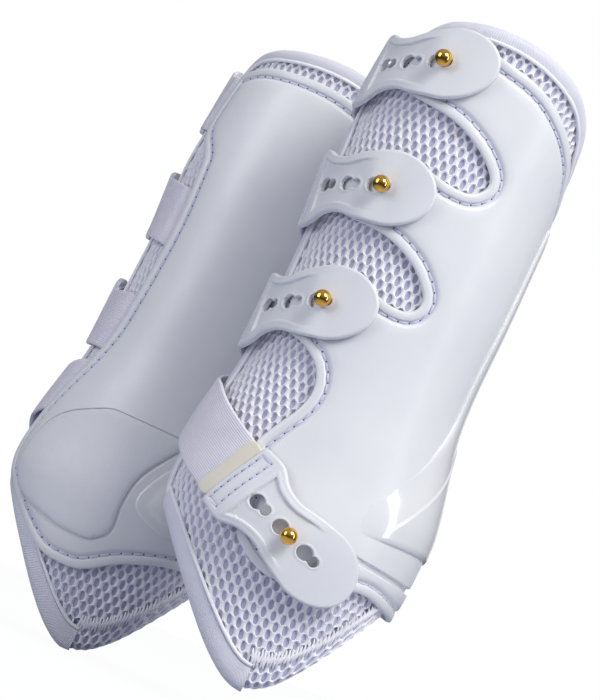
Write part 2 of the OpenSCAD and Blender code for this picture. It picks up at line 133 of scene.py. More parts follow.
front_line = curve((
    (0, 20 - FETLOCK_FRONT), (FETLOCK_Z, -FETLOCK_FRONT), (FETLOCK_Z + 29, 1.5 - FETLOCK_FRONT),
    (WAIST_Z, -WAIST_FRONT), (WAIST_Z + 60, 3.5 - WAIST_FRONT),
    (LINER_TOP - 61, 3.5 - WAIST_FRONT), (LINER_TOP, -TOP_FRONT)))
back_line = curve((
    (0, FETLOCK_BACK - 9), (FETLOCK_Z - 16, FETLOCK_BACK - 3), (FETLOCK_Z + 14, FETLOCK_BACK),
    (FETLOCK_Z + 32, FETLOCK_BACK - 1.5), (WAIST_Z, WAIST_BACK), (WAIST_Z + 50, WAIST_BACK + 2),
    (LINER_TOP - 49, WAIST_BACK + 5), (LINER_TOP, TOP_BACK)))
half_width = curve((
    (0, FETLOCK_HALF - 6), (FETLOCK_Z, FETLOCK_HALF), (FETLOCK_Z + 34, FETLOCK_HALF - 3),
    (WAIST_Z, WAIST_HALF), (WAIST_Z + 60, WAIST_HALF + 1), (LINER_TOP, TOP_HALF)))


def centre_x(z):
    return (front_line(z) + back_line(z)) / 2


def half_depth(z):
    return (back_line(z) - front_line(z)) / 2


def on_leg(a, z, off):
    """Point at an angle and height, at a distance off the liner's outer face."""
    a, z, off = np.broadcast_arrays(np.radians(a), np.asarray(z, float), np.asarray(off, float))
    return np.stack([
        centre_x(z) + (half_depth(z) + off) * np.sin(a), -(half_width(z) + off) * np.cos(a), z], -1)


def per_degree(a, z):
    a = np.radians(a)
    return np.hypot(half_depth(z) * np.cos(a), half_width(z) * np.sin(a)) * math.pi / 180


def straight_out(a, z):
    """Unit direction square to the leg's surface."""
    a, z = np.broadcast_arrays(np.asarray(a, float), np.asarray(z, float))
    n = np.cross(on_leg(a + 1, z, 0) - on_leg(a - 1, z, 0), on_leg(a, z + 1, 0) - on_leg(a, z - 1, 0))
    return n / np.linalg.norm(n, axis=-1, keepdims=True)


def angle_of(x, z):
    return np.degrees(np.arcsin(np.clip((x - centre_x(z)) / half_depth(z), -1, 1)))


def rim(a):
    s = np.sin(np.radians(a))
    return np.where(s < 0, RIM_FRONT, RIM_BACK) * s * s


top_drop = curve((
    (-90, 45), (-74, 22), (-57, 9), (-42, 1.5), (0, 0), (40, 9), (63, 21), (80, 36), (90, 40),
    (100, 36), (117, 21), (140, 9), (180, 0), (232, 2), (250, 7), (260, 16), (270, 32)))


def liner_high(a):
    return LINER_TOP - top_drop(a)


def roll_share(a):
    """How much of its height the lower roll has: all of it between the lobe tips, none in front."""
    return ramp(np.minimum(a, 180 - np.asarray(a, float)) / ROLL_RAMP + 1)


def liner_low(a):
    return rim(a) + (ROLL_H + ROLL_GAP) * roll_share(a)


# The surface laid flat: distance round the leg at one height, and height
FLAT_Z = 150
flat_angles = np.linspace(-110, 290, 801)
flat_runs = np.concatenate([[0], np.cumsum(per_degree(flat_angles[1:] - 0.25, FLAT_Z) * 0.5)])
flat_runs -= np.interp(0, flat_angles, flat_runs)


def flat(a):
    return np.interp(a, flat_angles, flat_runs)


def angle_at(u):
    return np.interp(u, flat_runs, flat_angles)


def on_flat(uv, off):
    return on_leg(angle_at(uv[..., 0]), uv[..., 1], off)


# Meshes

def to_side(points, side):
    """Points of the left boot, in metres, moved to the boot of that side."""
    points = np.asarray(points, float)
    if side == "right":
        x, y, z = np.moveaxis(points, -1, 0)
        c, s = math.cos(math.radians(PAIR_LEAN)), math.sin(math.radians(PAIR_LEAN))
        points = np.stack([x * c + z * s - PAIR_FORWARD, PAIR_APART - y, z * c - x * s - PAIR_DROP], -1)
    return points * MM


def make(side, name, shape, finish, body="boot", replaces=(), sharp=40, rides=True):
    """One named piece of one boot. shape is its points, its faces and, for a cloth, its flat places."""
    points, faces, *cloth = shape
    faces = [tuple(int(i) for i in f) for f in faces]
    if side == "right":
        faces = [f[::-1] for f in faces]
    mesh = bpy.data.meshes.new(f"{side}_{name}")
    mesh.from_pydata(to_side(points, side).tolist(), [], faces)
    if cloth:
        corners = np.zeros(len(mesh.loops), np.int32)
        mesh.loops.foreach_get("vertex_index", corners)
        layer = mesh.uv_layers.new(name="cloth")
        layer.data.foreach_set("uv", np.asarray(cloth[0], np.float32)[corners].ravel())
    mesh.shade_smooth()
    mesh.set_sharp_from_angle(angle=math.radians(sharp))
    mesh.materials.append(finish)
    thing = bpy.data.objects.new(f"{side}_{name}", mesh)
    scene.collection.objects.link(thing)
    if replaces:
        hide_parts(*[f"{side}_{node}" for node in replaces])
    if rides:
        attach(thing, f"{side}_{body}")
    return thing


def grid_faces(rows, cols, closed=False):
    """Faces of a grid of points, row by row. A closed grid's rows are rings."""
    faces = []
    for r in range(rows - 1):
        for c in range(cols if closed else cols - 1):
            d = (c + 1) % cols
            faces.append((r * cols + c, r * cols + d, (r + 1) * cols + d, (r + 1) * cols + c))
    return faces


def loft(rings):
    """Closed tube through rings of points."""
    rings = np.asarray(rings, float)
    rows, cols = rings.shape[:2]
    faces = [f[::-1] for f in grid_faces(rows, cols, closed=True)]
    last = (rows - 1) * cols
    faces += [tuple(range(cols)), tuple(range(last + cols - 1, last - 1, -1))]
    a, b = rings[:-1], rings[1:]
    turned = np.cross(np.roll(a, -1, axis=1) - a, b - a)
    if (turned * (a - a.mean(1, keepdims=True))).sum() > 0:
        faces = [f[::-1] for f in faces]
    return rings.reshape(-1, 3), faces


def thick(outer, inner, cloth):
    """Closed sheet between two grids of points that face each other."""
    rows, cols = outer.shape[:2]
    n = rows * cols
    front = grid_faces(rows, cols)
    faces = front + [tuple(i + n for i in f[::-1]) for f in front]
    edge = [r * cols for r in range(rows)][::-1] + list(range(1, cols))
    edge += [r * cols + cols - 1 for r in range(1, rows)]
    edge += [(rows - 1) * cols + c for c in range(cols - 2, 0, -1)]
    for a, b in zip(edge, edge[1:] + edge[:1]):
        faces.append((b, a, a + n, b + n))
    points = np.concatenate([outer.reshape(-1, 3), inner.reshape(-1, 3)])
    return points, faces, np.concatenate([cloth.reshape(-1, 2)] * 2)


def lathe(origin, axis, outline, sides=32):
    """Round solid about an axis, through (radius, height) points from its foot to its top."""
    axis = np.asarray(axis, float)
    across = np.cross(axis, (0, 0, 1))
    across /= np.linalg.norm(across)
    along = np.cross(axis, across)
    turn = np.linspace(0, 2 * math.pi, sides, endpoint=False)[:, None]
    ring = np.cos(turn) * across + np.sin(turn) * along
    return loft([origin + axis * h + ring * r for r, h in outline])


def resample(loop, step, closed=True):
    """Points along a line at even steps."""
    line = np.concatenate([loop, loop[:1]]) if closed else np.asarray(loop, float)
    run = np.concatenate([[0], np.cumsum(np.linalg.norm(np.diff(line, axis=0), axis=1))])
    count = max(3, int(round(run[-1] / step)))
    at = np.linspace(0, run[-1], count, endpoint=not closed)
    return np.stack([np.interp(at, run, line[:, k]) for k in range(line.shape[1])], -1)


def rounded(loop, radius, step=0.5):
    """A closed line with its corners eased over a radius."""
    line = resample(loop, step)
    reach = max(1, int(radius / step))
    weights = np.hanning(2 * reach + 3)[1:-1]
    weights /= weights.sum()
    total = np.zeros_like(line)
    for k, w in zip(range(-reach, reach + 1), weights):
        total += w * np.roll(line, k, axis=0)
    return total


def inward(loop):
    """Direction to the left of travel at each point of a closed line."""
    d = np.roll(loop, -1, axis=0) - np.roll(loop, 1, axis=0)
    d /= np.linalg.norm(d, axis=1, keepdims=True)
    return np.stack([-d[:, 1], d[:, 0]], -1)


def inside(points, loops):
    """Which points lie inside the outline and outside its holes."""
    hit = np.zeros(len(points), bool)
    for loop in loops:
        a, b = loop, np.roll(loop, -1, axis=0)
        for (ax, ay), (bx, by) in zip(a, b):
            if ay != by:
                spans = (points[:, 1] < ay) != (points[:, 1] < by)
                hit ^= spans & (points[:, 0] < ax + (points[:, 1] - ay) * (bx - ax) / (by - ay))
    return hit


class Outline:
    """A flat shape: an outline to the left of its travel, and holes that run the other way."""

    def __init__(self, loops, step):
        self.loops = [resample(np.asarray(loop, float), step) for loop in loops]
        fine = np.concatenate([resample(loop, 0.2) for loop in self.loops])
        self.tree = KDTree(len(fine))
        for i, (x, y) in enumerate(fine):
            self.tree.insert((x, y, 0), i)
        self.tree.balance()

    def depth(self, points):
        """Distance from the edge."""
        return np.array([self.tree.find((x, y, 0))[2] for x, y in points])

    def line(self, loop, depth):
        """Line at a depth inside one loop, broken where it would come nearer to an edge."""
        points = loop + depth * inward(loop)
        return points, self.depth(points) > 0.97 * depth - 0.02

    def triangles(self, depths, spacing, margin, extra=()):
        """Triangles over the shape: rows of points at given depths, extra points and a grid further in."""
        parts, edges, start = [], [], 0
        for loop in self.loops:
            n = len(loop)
            parts.append(loop)
            edges += [(start + i, start + (i + 1) % n) for i in range(n)]
            start += n
        for depth in depths:
            for loop in self.loops:
                points, keep = self.line(loop, depth)
                parts.append(points[keep & inside(points, self.loops)])
        low, high = self.loops[0].min(0), self.loops[0].max(0)
        x, y = np.meshgrid(np.arange(low[0], high[0], spacing), np.arange(low[1], high[1], spacing))
        x = x + (np.arange(len(x)) % 2)[:, None] * spacing / 2
        points = np.stack([x.ravel(), y.ravel()], -1)
        points = points[inside(points, self.loops)]
        parts.append(points[self.depth(points) > margin])
        if len(extra):
            parts.append(extra[inside(extra, self.loops) & (self.depth(extra) > 0.3)])
        found = delaunay_2d_cdt([Vector(p) for p in np.concatenate(parts)], edges, [], 0, 1e-4)
        points = np.array([(v.x, v.y) for v in found[0]])
        faces = np.array([f for f in found[2] if len(f) == 3])
        faces = faces[inside(points[faces].mean(1), self.loops)]
        a, b, c = points[faces[:, 0]], points[faces[:, 1]], points[faces[:, 2]]
        area = (b - a)[:, 0] * (c - a)[:, 1] - (b - a)[:, 1] * (c - a)[:, 0]
        faces[area < 0] = faces[area < 0][:, ::-1]
        return points, faces[np.abs(area) > 1e-6]


def closed_plate(top, bottom, faces):
    """Solid between two copies of one triangulation, with walls round its edges."""
    n = len(top)
    sides = np.concatenate([faces[:, (0, 1)], faces[:, (1, 2)], faces[:, (2, 0)]])
    there = {(a, b) for a, b in sides.tolist()}
    walls = [(b, a, a + n, b + n) for a, b in sides.tolist() if (b, a) not in there]
    return np.concatenate([top, bottom]), faces.tolist() + (faces[:, ::-1] + n).tolist() + walls


def beads(starts, ends, ups, radius, dip=0.3, sides=6):
    """Short stitches, one from each start to its end, thick in the middle and sunk at the ends."""
    starts, ends, ups = (np.asarray(x, float) for x in (starts, ends, ups))
    run = ends - starts
    side = np.cross(ups, run)
    side /= np.linalg.norm(side, axis=1, keepdims=True)
    turn = np.linspace(0, 2 * math.pi, sides, endpoint=False)
    rings = []
    for t, r, sink in ((0, 0.4, 1), (0.14, 0.85, 0.35), (0.5, 1, 0), (0.86, 0.85, 0.35), (1, 0.4, 1)):
        middle = starts + run * t - ups * dip * sink
        rings.append(
            middle[:, None] + r * radius * (
                np.cos(turn)[None, :, None] * side[:, None] + np.sin(turn)[None, :, None] * ups[:, None]))
    points = np.stack(rings, 1)
    faces = []
    one, own = loft(np.zeros((len(rings), sides, 3)))
    for k in range(len(starts)):
        faces += [tuple(i + k * len(one) for i in f[::-1]) for f in own]
    return points.reshape(-1, 3), faces


def tube(line, radius, sides=8):
    """Round tube along a line of points."""
    line = np.asarray(line, float)
    d = np.gradient(line, axis=0)
    d /= np.linalg.norm(d, axis=1, keepdims=True)
    up = np.stack([line[:, 0] - centre_x(line[:, 2]), line[:, 1], 0 * line[:, 2]], -1)
    side = np.cross(d, up)
    side /= np.linalg.norm(side, axis=1, keepdims=True)
    up = np.cross(side, d)
    turn = np.linspace(0, 2 * math.pi, sides, endpoint=False)[None, :, None]
    rings = line[:, None] + radius * (np.cos(turn) * side[:, None] + np.sin(turn) * up[:, None])
    return loft(rings)


# Finishes

def node(tree, kind, links=(), **settings):
    """A shader node with its settings, and its sockets set or linked."""
    made = tree.nodes.new(kind)
    for key, value in settings.items():
        setattr(made, key, value)
    for socket, value in links:
        if isinstance(value, bpy.types.NodeSocket):
            tree.links.new(value, made.inputs[socket])
        else:
            made.inputs[socket].default_value = value
    return made


def group(name, inputs, outputs):
    """An empty node group with named sockets, and its two ends."""
    tree = bpy.data.node_groups.new(name, "ShaderNodeTree")
    for label, kind, value in inputs:
        tree.interface.new_socket(label, in_out="INPUT", socket_type=kind).default_value = value
    for label, kind in outputs:
        tree.interface.new_socket(label, in_out="OUTPUT", socket_type=kind)
    return tree, tree.nodes.new("NodeGroupInput").outputs, tree.nodes.new("NodeGroupOutput").inputs


FLOAT, COLOR = "NodeSocketFloat", "NodeSocketColor"


def uneven_colour():
    """Colour that drifts between two tones in soft patches, with the patches as a mask."""
    tree, given, out = group(
        "uneven colour",
        (("Tone", COLOR, (1, 1, 1, 1)), ("Shade", COLOR, (0.5, 0.5, 0.5, 1)), ("Patches", FLOAT, 40)),
        (("Color", COLOR), ("Mask", FLOAT)))
    place = node(tree, "ShaderNodeTexCoord").outputs["Object"]
    noise = node(tree, "ShaderNodeTexNoise", (
        ("Vector", place), ("Scale", given["Patches"]), ("Detail", 4), ("Roughness", 0.6)))
    mask = node(tree, "ShaderNodeMapRange", (
        ("Value", noise.outputs["Fac"]), ("From Min", 0.35), ("From Max", 0.7)))
    tones = node(tree, "ShaderNodeMix", (
        (0, mask.outputs[0]), (6, given["Tone"]), (7, given["Shade"])), data_type="RGBA")
    tree.links.new(tones.outputs[2], out["Color"])
    tree.links.new(mask.outputs[0], out["Mask"])
    return tree


def moulded_grain():
    """Height of a moulded surface: a fine pebble with a slow swell under it."""
    tree, given, out = group(
        "moulded grain", (("Pebble", FLOAT, 1500), ("Swell", FLOAT, 0.3)), (("Height", FLOAT),))
    place = node(tree, "ShaderNodeTexCoord").outputs["Object"]
    pebble = node(tree, "ShaderNodeTexVoronoi", (("Vector", place), ("Scale", given["Pebble"])))
    swell = node(tree, "ShaderNodeTexNoise", (("Vector", place), ("Scale", 90), ("Detail", 2)))
    slow = node(tree, "ShaderNodeMath", (
        (0, swell.outputs["Fac"]), (1, given["Swell"])), operation="MULTIPLY")
    total = node(tree, "ShaderNodeMath", (
        (0, pebble.outputs["Distance"]), (1, slow.outputs[0])), operation="ADD")
    tree.links.new(total.outputs[0], out["Height"])
    return tree


def woven_grain():
    """Height of a cloth from its flat places in millimetres: ribs across and along, and loose fibres."""
    tree, given, out = group(
        "woven grain",
        (("Across", FLOAT, 1), ("Along", FLOAT, 1), ("Slant", FLOAT, 0), ("Cross share", FLOAT, 0.5),
         ("Fibre", FLOAT, 0.2)),
        (("Height", FLOAT), ("Mask", FLOAT)))
    cloth = node(tree, "ShaderNodeUVMap", uv_map="cloth").outputs[0]
    place = node(tree, "ShaderNodeSeparateXYZ", ((0, cloth),))

    def math_node(kind, a, b):
        return node(tree, "ShaderNodeMath", ((0, a), (1, b)), operation=kind).outputs[0]

    def wave(value, pitch):
        turns = math_node("MULTIPLY", math_node("DIVIDE", value, pitch), 2 * math.pi)
        level = node(tree, "ShaderNodeMath", ((0, turns),), operation="SINE").outputs[0]
        return math_node("ADD", math_node("MULTIPLY", level, 0.5), 0.5)
    slanted = math_node("ADD", place.outputs[0], math_node("MULTIPLY", place.outputs[1], given["Slant"]))
    ribs = wave(slanted, given["Across"])
    cross = wave(place.outputs[1], given["Along"])
    crossing = math_node("MULTIPLY", math_node("MULTIPLY", ribs, cross), given["Cross share"])
    weave = math_node("ADD", ribs, crossing)
    fibre = node(tree, "ShaderNodeTexNoise", (
        ("Vector", node(tree, "ShaderNodeTexCoord").outputs["Object"]), ("Scale", 2200), ("Detail", 3)))
    total = math_node("ADD", weave, math_node("MULTIPLY", fibre.outputs["Fac"], given["Fibre"]))
    tree.links.new(total, out["Height"])
    tree.links.new(ribs, out["Mask"])
    return tree


UNEVEN, MOULDED, WOVEN = uneven_colour(), moulded_grain(), woven_grain()


def finish(name, tone, shade, roughness, spread, relief, depth, patches=40, **fixed):
    """A material: tone drifting to a shade, roughness with it, and a relief group of some depth in mm."""
    made = bpy.data.materials.new(name)
    made.use_nodes = True
    tree = made.node_tree
    shader = tree.nodes["Principled BSDF"]
    for key, value in fixed.items():
        shader.inputs[key.replace("_", " ")].default_value = value
    colour = node(tree, "ShaderNodeGroup", node_tree=UNEVEN)
    colour.inputs["Tone"].default_value = (*tone, 1)
    colour.inputs["Shade"].default_value = (*shade, 1)
    colour.inputs["Patches"].default_value = patches
    tree.links.new(colour.outputs["Color"], shader.inputs["Base Color"])
    rough = node(tree, "ShaderNodeMapRange", (
        ("Value", colour.outputs["Mask"]), ("To Min", roughness - spread), ("To Max", roughness + spread)))
    tree.links.new(rough.outputs[0], shader.inputs["Roughness"])
    kind, values = relief
    grain = node(tree, "ShaderNodeGroup", node_tree=kind)
    for key, value in values.items():
        grain.inputs[key].default_value = value
    bump = node(tree, "ShaderNodeBump", (
        ("Height", grain.outputs["Height"]), ("Strength", 1.0), ("Distance", depth * MM)))
    tree.links.new(bump.outputs[0], shader.inputs["Normal"])
    return made


def weave(across, along, slant=0.0, cross=0.5, fibre=0.2):
    return WOVEN, {"Across": across, "Along": along, "Slant": slant, "Cross share": cross, "Fibre": fibre}


def pebble(size, swell=0.3):
    return MOULDED, {"Pebble": 1 / (size * MM), "Swell": swell}


SHELL = finish("moulded shell", (0.825, 0.83, 0.845), (0.785, 0.795, 0.82), 0.4, 0.05, pebble(0.5), 0.012,
               Coat_Weight=0.25, Coat_Roughness=0.3)
GUARD = finish("polished guard", (0.845, 0.85, 0.855), (0.815, 0.825, 0.84), 0.2, 0.04, pebble(3.0), 0.004,
               Coat_Weight=0.9, Coat_Roughness=0.05)
STRIKE = finish("grained strike pad", (0.80, 0.805, 0.83), (0.75, 0.76, 0.80), 0.5, 0.05,
                weave(0.9, 0.9, 0.0, 0.9, 0.1), 0.05)
TAB = finish("moulded tab", (0.80, 0.81, 0.835), (0.76, 0.77, 0.80), 0.42, 0.05, pebble(0.6), 0.012,
             Coat_Weight=0.15, Coat_Roughness=0.3)
YARN = finish("mesh yarn", (0.965, 0.95, 0.985), (0.92, 0.905, 0.955), 0.78, 0.08,
              weave(0.5, 0.9, 0.6, 0.6, 0.8), 0.05, 160, Sheen_Weight=0.25)
MESH_BACK = finish("mesh backing", (0.52, 0.53, 0.69), (0.46, 0.47, 0.63), 0.85, 0.05,
                   weave(0.7, 0.7, 0.5, 0.6, 0.6), 0.06, 120)
FOAM = finish("foam", (0.78, 0.77, 0.74), (0.7, 0.69, 0.66), 0.9, 0.05, pebble(0.8, 0.6), 0.12)
LINING = finish("brushed lining", (0.78, 0.775, 0.83), (0.72, 0.715, 0.78), 0.85, 0.06,
                weave(1.1, 1.3, 0.4, 0.7, 0.7), 0.06, 60, Sheen_Weight=0.3)
TAPE = finish("binding twill", (0.89, 0.885, 0.96), (0.83, 0.825, 0.92), 0.75, 0.06,
              weave(0.8, 0.5, 0.9, 0.3, 0.3), 0.16, 80, Sheen_Weight=0.2)
ELASTIC = finish("ribbed elastic", (0.84, 0.815, 0.90), (0.78, 0.755, 0.85), 0.78, 0.06,
                 weave(0.95, 0.7, 0.0, 0.45, 0.45), 0.13, 90, Sheen_Weight=0.2)
THREAD = finish("sewing thread", (0.75, 0.76, 0.91), (0.62, 0.63, 0.84), 0.6, 0.08, pebble(0.25), 0.03)
# Near-black blue of the needle holes is painted shade: the holes are not cut, and this colour stands in for
# the shadow inside them.
NEEDLE_HOLE_SHADE = finish("painted needle hole shade", (0.09, 0.10, 0.24), (0.06, 0.07, 0.18), 0.7, 0.08, pebble(0.3), 0.02)
BRASS = finish("polished brass", (0.85, 0.52, 0.12), (0.74, 0.42, 0.08), 0.1, 0.03, pebble(1.2), 0.002,
               Metallic=1.0)
TAG = finish("woven tag", (0.86, 0.82, 0.70), (0.80, 0.755, 0.63), 0.7, 0.06,
             weave(0.5, 0.5, 0.0, 0.8, 0.3), 0.03)
STEEL = finish("zinc washer", (0.62, 0.63, 0.64), (0.5, 0.51, 0.52), 0.34, 0.08, pebble(0.6), 0.006,
               Metallic=1.0)


# Shell, guard and strike pad

outer_edge = curve((
    (58, -29), (70, -32), (90, -34.5), (120, -42), (150, -47), (165, -48), (218, -46), (250, -44),
    (272, -41.5), (284, -38.5)))
inner_edge = curve((
    (60, 252), (72, 257), (88, 256), (105, 249), (130, 238), (150, 233), (235, 233), (248, 246),
    (258, 250), (284, 249)))
shell_low = curve((
    (-22, 58.5), (-18, 55), (-14.5, 52), (-9.5, 49.2), (-4, 47.4), (12, 47.5), (40, 55.5), (65, 52.5),
    (90, 50), (115, 52), (142, 53.5), (167, 46), (187, 35.5), (200, 34), (213, 36), (228, 45), (240, 54),
    (252, 62)))
shell_high = curve((
    (-58, 286), (-44, 290), (-22, 293), (-2, 289.5), (25, 283), (62, 265), (90, 245), (118, 265),
    (155, 283), (182, 289), (225, 289), (243, 285), (252, 280)))
# Mesh windows from the lowest up, each as its outline seen from the side
WINDOWS = (
    ((-42, 86), (-37, 97), (-31.4, 107.4), (-25.2, 117.9), (-22.6, 127.5), (-25.2, 137.1), (-32.8, 144.4),
     (-42.8, 148.6), (-51, 154)),
    ((-50, 169), (-40, 174), (-20, 177), (-8, 173.6), (1, 173.7), (4.9, 179), (2.6, 185.5), (-6, 194),
     (-20, 200.8), (-38, 204), (-49, 209)),
    ((-47, 228), (-37, 232), (-19, 234.6), (-4, 231), (6, 231), (11.8, 236.5), (10.5, 242.5),
     (1.5, 250.7), (-12, 257.7), (-33, 263.2), (-45, 268)))
SHELL_FOOT, SHELL_HEAD, INNER_FOOT, INNER_HEAD = 58, 284, 62, 280


def shell_outline():
    """Shell's edge laid flat, with its windows let in."""
    heights = np.linspace(SHELL_FOOT, SHELL_HEAD, 400)
    front = np.stack([outer_edge(heights), heights], -1)
    line, reached = [], 0
    for window in WINDOWS:
        keyed = [(i / (len(window) - 1), p) for i, p in enumerate(window)]
        cut = curve(keyed)(np.linspace(0, 1, 160))
        cut = cut[cut[:, 0] > outer_edge(cut[:, 1])]
        line += [front[(heights > reached) & (heights < cut[0, 1])], cut]
        reached = cut[-1, 1]
    line = np.concatenate(line + [front[heights > reached]])
    line = np.stack([flat(angle_of(line[:, 0], line[:, 1])), line[:, 1]], -1)
    first, last = angle_at(line[0, 0]), angle_at(line[-1, 0])
    top = np.linspace(last, inner_edge(INNER_HEAD), 200)
    down = np.linspace(INNER_HEAD, INNER_FOOT, 200)
    low = np.linspace(inner_edge(INNER_FOOT), first, 200)
    loop = np.concatenate([
        line, np.stack([flat(top), shell_high(top)], -1), np.stack([flat(inner_edge(down)), down], -1),
        np.stack([flat(low), shell_low(low)], -1)])
    return rounded(loop[::-1], 3)


# Distance from the shell's edge and height there: sewn flange, stitch groove and field
FLANGE = np.array((
    (0, 1.15), (0.2, 1.6), (0.6, 1.85), (1.6, 1.95), (3.4, 1.95), (3.8, 1.7), (4.1, 0.95), (5.4, 0.95),
    (5.8, 1.5), (6.4, 2.0), (7.4, 2.25), (10.5, SHELL_T)))
STITCH_DEPTH, STITCH_PITCH, STITCH_GAP = 4.75, 4.7, 0.9
shell_shape = Outline([shell_outline()], 1.3)


def plate_on_leg(shape, profile, base, spacing, relief=None, extra=()):
    """Solid plate on the leg's surface, with a profile by the distance from its edge and a relief."""
    points, faces = shape.triangles(profile[1:, 0], spacing, profile[-1, 0] + spacing / 3, extra)
    height = np.interp(shape.depth(points), profile[:, 0], profile[:, 1])
    if relief:
        height = relief(points, height)
    solid = closed_plate(on_flat(points, base + height), on_flat(points, np.full(len(points), base)), faces)
    return (*solid, np.concatenate([points, points]))


def stitch_runs(shape, depth, step=0.25):
    """Unbroken lines at a depth inside a shape's edge."""
    runs = []
    for loop in shape.loops:
        points, keep = shape.line(resample(loop, step), depth)
        order = np.roll(np.arange(len(points)), -int(np.argmin(keep)))
        run = []
        for i in order:
            if keep[i]:
                run.append(points[i])
            elif run:
                runs.append(np.array(run))
                run = []
        if run:
            runs.append(np.array(run))
    return [run for run in runs if len(run) * step > 6]


def stitch_places(runs, pitch, gap, step=0.1):
    """Starts and ends of stitches along flat lines, found in small steps."""
    starts, ends = [], []
    for run in runs:
        line = resample(run, step, closed=False)
        count = int(len(line) * step / pitch)
        at = np.linspace(0, len(line) - 1, count + 1)
        cut = gap / 2 / step
        starts.append(line[np.round(at[:-1] + cut).astype(int)])
        ends.append(line[np.round(at[1:] - cut).astype(int)])
    return np.concatenate(starts), np.concatenate(ends)


def stitched(starts, ends, place, out, radius):
    """Stitches and, between them, dark marks of painted shade for the needle's holes, all from flat places.
    """
    middle = (starts + ends) / 2
    thread = beads(place(starts, 0.25), place(ends, 0.25), out(middle), radius)
    gone = ends - starts
    gone = gone / np.linalg.norm(gone, axis=1, keepdims=True)
    # Dark beads just over the surface where the needle went through: painted shade in place of real holes.
    holes = beads(place(ends + gone * 0.15, 0.02), place(ends + gone * 0.85, 0.02), out(ends), 0.42, dip=0.05)
    return thread, holes


def out_of_flat(uv):
    return straight_out(angle_at(uv[..., 0]), uv[..., 1])


GROOVE_Z, GROOVE_RISE, GROOVE_DEPTH, GROOVE_HALF = 65.4, 2.2, 1.6, 1.4
GROOVE_FROM, GROOVE_TO = 28, 148


def groove_height(a):
    return GROOVE_Z + GROOVE_RISE * ((a - 90) / 55) ** 2


strike_front = curve(((49, 205), (56, 232), (68, 243), (85, 241), (98, 230), (109, 205)))
strike_back = curve(((49, 188), (56, 180), (68, 180), (85, 178.5), (98, 171), (109, 163)))
STRIKE_FOOT, STRIKE_HEAD = 49, 109


def strike_outline():
    up = np.linspace(STRIKE_FOOT, STRIKE_HEAD, 160)
    loop = np.concatenate([
        np.stack([flat(strike_back(up[::-1])), up[::-1]], -1), np.stack([flat(strike_front(up)), up], -1)])
    return rounded(loop, 5)


STRIKE_PROFILE = np.array(((0, 0.05), (0.35, 0.45), (1.0, 0.75), (2.2, 0.95), (4, 1.0)))
PAD_GROOVE, PAD_GROOVE_W = 0.8, (0.6, 1.2)
strike_shape = Outline([strike_outline()], 1.2)


def shell_relief(points, height):
    """Deep groove round the heel of the shell, under the guard, and one round the strike pad."""
    a = angle_at(points[:, 0])
    ends = ramp((a - GROOVE_FROM) / 8) * ramp((GROOVE_TO - a) / 8)
    below = (groove_height(a) - points[:, 1]) / GROOVE_HALF
    cut = ramp((1.2 - np.abs(below)) / 0.35) - 0.2 * ramp((below - 0.4) / 2) * ramp((9 - below) / 3)
    wide = mix(*PAD_GROOVE_W, ramp((flat(205) - points[:, 0] + 70 - points[:, 1]) / 60 + 0.5))
    pad = ramp((wide - strike_shape.depth(points)) / 0.4 + 0.5) * ~inside(points, strike_shape.loops)
    return height - GROOVE_DEPTH * ends * cut - PAD_GROOVE * pad


groove_turn = np.linspace(GROOVE_FROM, GROOVE_TO, 110)
pad_edge = strike_shape.loops[0]
groove_points = np.concatenate(
    [np.stack([flat(groove_turn), groove_height(groove_turn) + k * GROOVE_HALF], -1)
     for k in (-2.2, -1.25, -0.8, 0, 0.8, 1.25, 2.2)]
    + [pad_edge - inward(pad_edge) * k for k in (-0.6, 0.05, 0.4, 0.8, 1.0, 1.4, 2.0)])
shell_plate = plate_on_leg(shell_shape, FLANGE, UNDER_SHELL, 4.5, shell_relief, groove_points)
groove = UNDER_SHELL + np.interp(STITCH_DEPTH, FLANGE[:, 0], FLANGE[:, 1])
# Flange stitches, with dark marks of painted shade at the needle holes between them.
shell_thread, shell_needle_shade = stitched(
    *stitch_places(stitch_runs(shell_shape, STITCH_DEPTH), STITCH_PITCH, STITCH_GAP),
    lambda uv, lift: on_flat(uv, groove + lift), out_of_flat, 0.5)

CUP_FOOT, CUP_TOP, CUP_LIFT = 84, 132, 0.5
guard_outer = curve((
    (74, 33), (79, 27), (90, 26), (98, 33), (112, 46), (125, 57), (140, 67), (170, 70), (205, 74), (238, 77)))
guard_inner = curve((
    (64, 24), (70, 8), (80, 6), (98, 16), (120, 42), (140, 64), (170, 70), (205, 74), (238, 77)))
# Upper rim of the fetlock cup: height to angle on the outer side
cup_rim = curve(((84, 38), (97, 51), (116, 73), (CUP_TOP, 90)))
GUARD_TOP, GUARD_OUTER_FOOT, GUARD_INNER_FOOT, GUARD_DIP = 238, 79, 64, 7
ON_SHELL = UNDER_SHELL + SHELL_T - 0.05


def guard_outline():
    share = np.linspace(0, 1, 120)
    dip = GUARD_DIP * np.sin(math.pi * share)
    foot = np.stack([mix(guard_outer(0), 180 - guard_inner(0), share),
                     mix(GUARD_OUTER_FOOT, GUARD_INNER_FOOT, share) + dip], -1)
    head = np.stack([mix(guard_outer(GUARD_TOP), 180 - guard_inner(GUARD_TOP), share), GUARD_TOP - dip], -1)
    left, right = mix(GUARD_OUTER_FOOT, GUARD_TOP, share), mix(GUARD_INNER_FOOT, GUARD_TOP, share)
    loop = np.concatenate([
        foot, np.stack([180 - guard_inner(right), right], -1), head[::-1],
        np.stack([guard_outer(left[::-1]), left[::-1]], -1)])
    return rounded(np.stack([flat(loop[:, 0]), loop[:, 1]], -1), 5)


GUARD_PROFILE = np.array((
    (0, 0.1), (0.4, 0.75), (1.2, 1.2), (2.6, 1.45), (4, 1.55), (5, 1.6), (6.8, 1.64), (9, 1.66)))
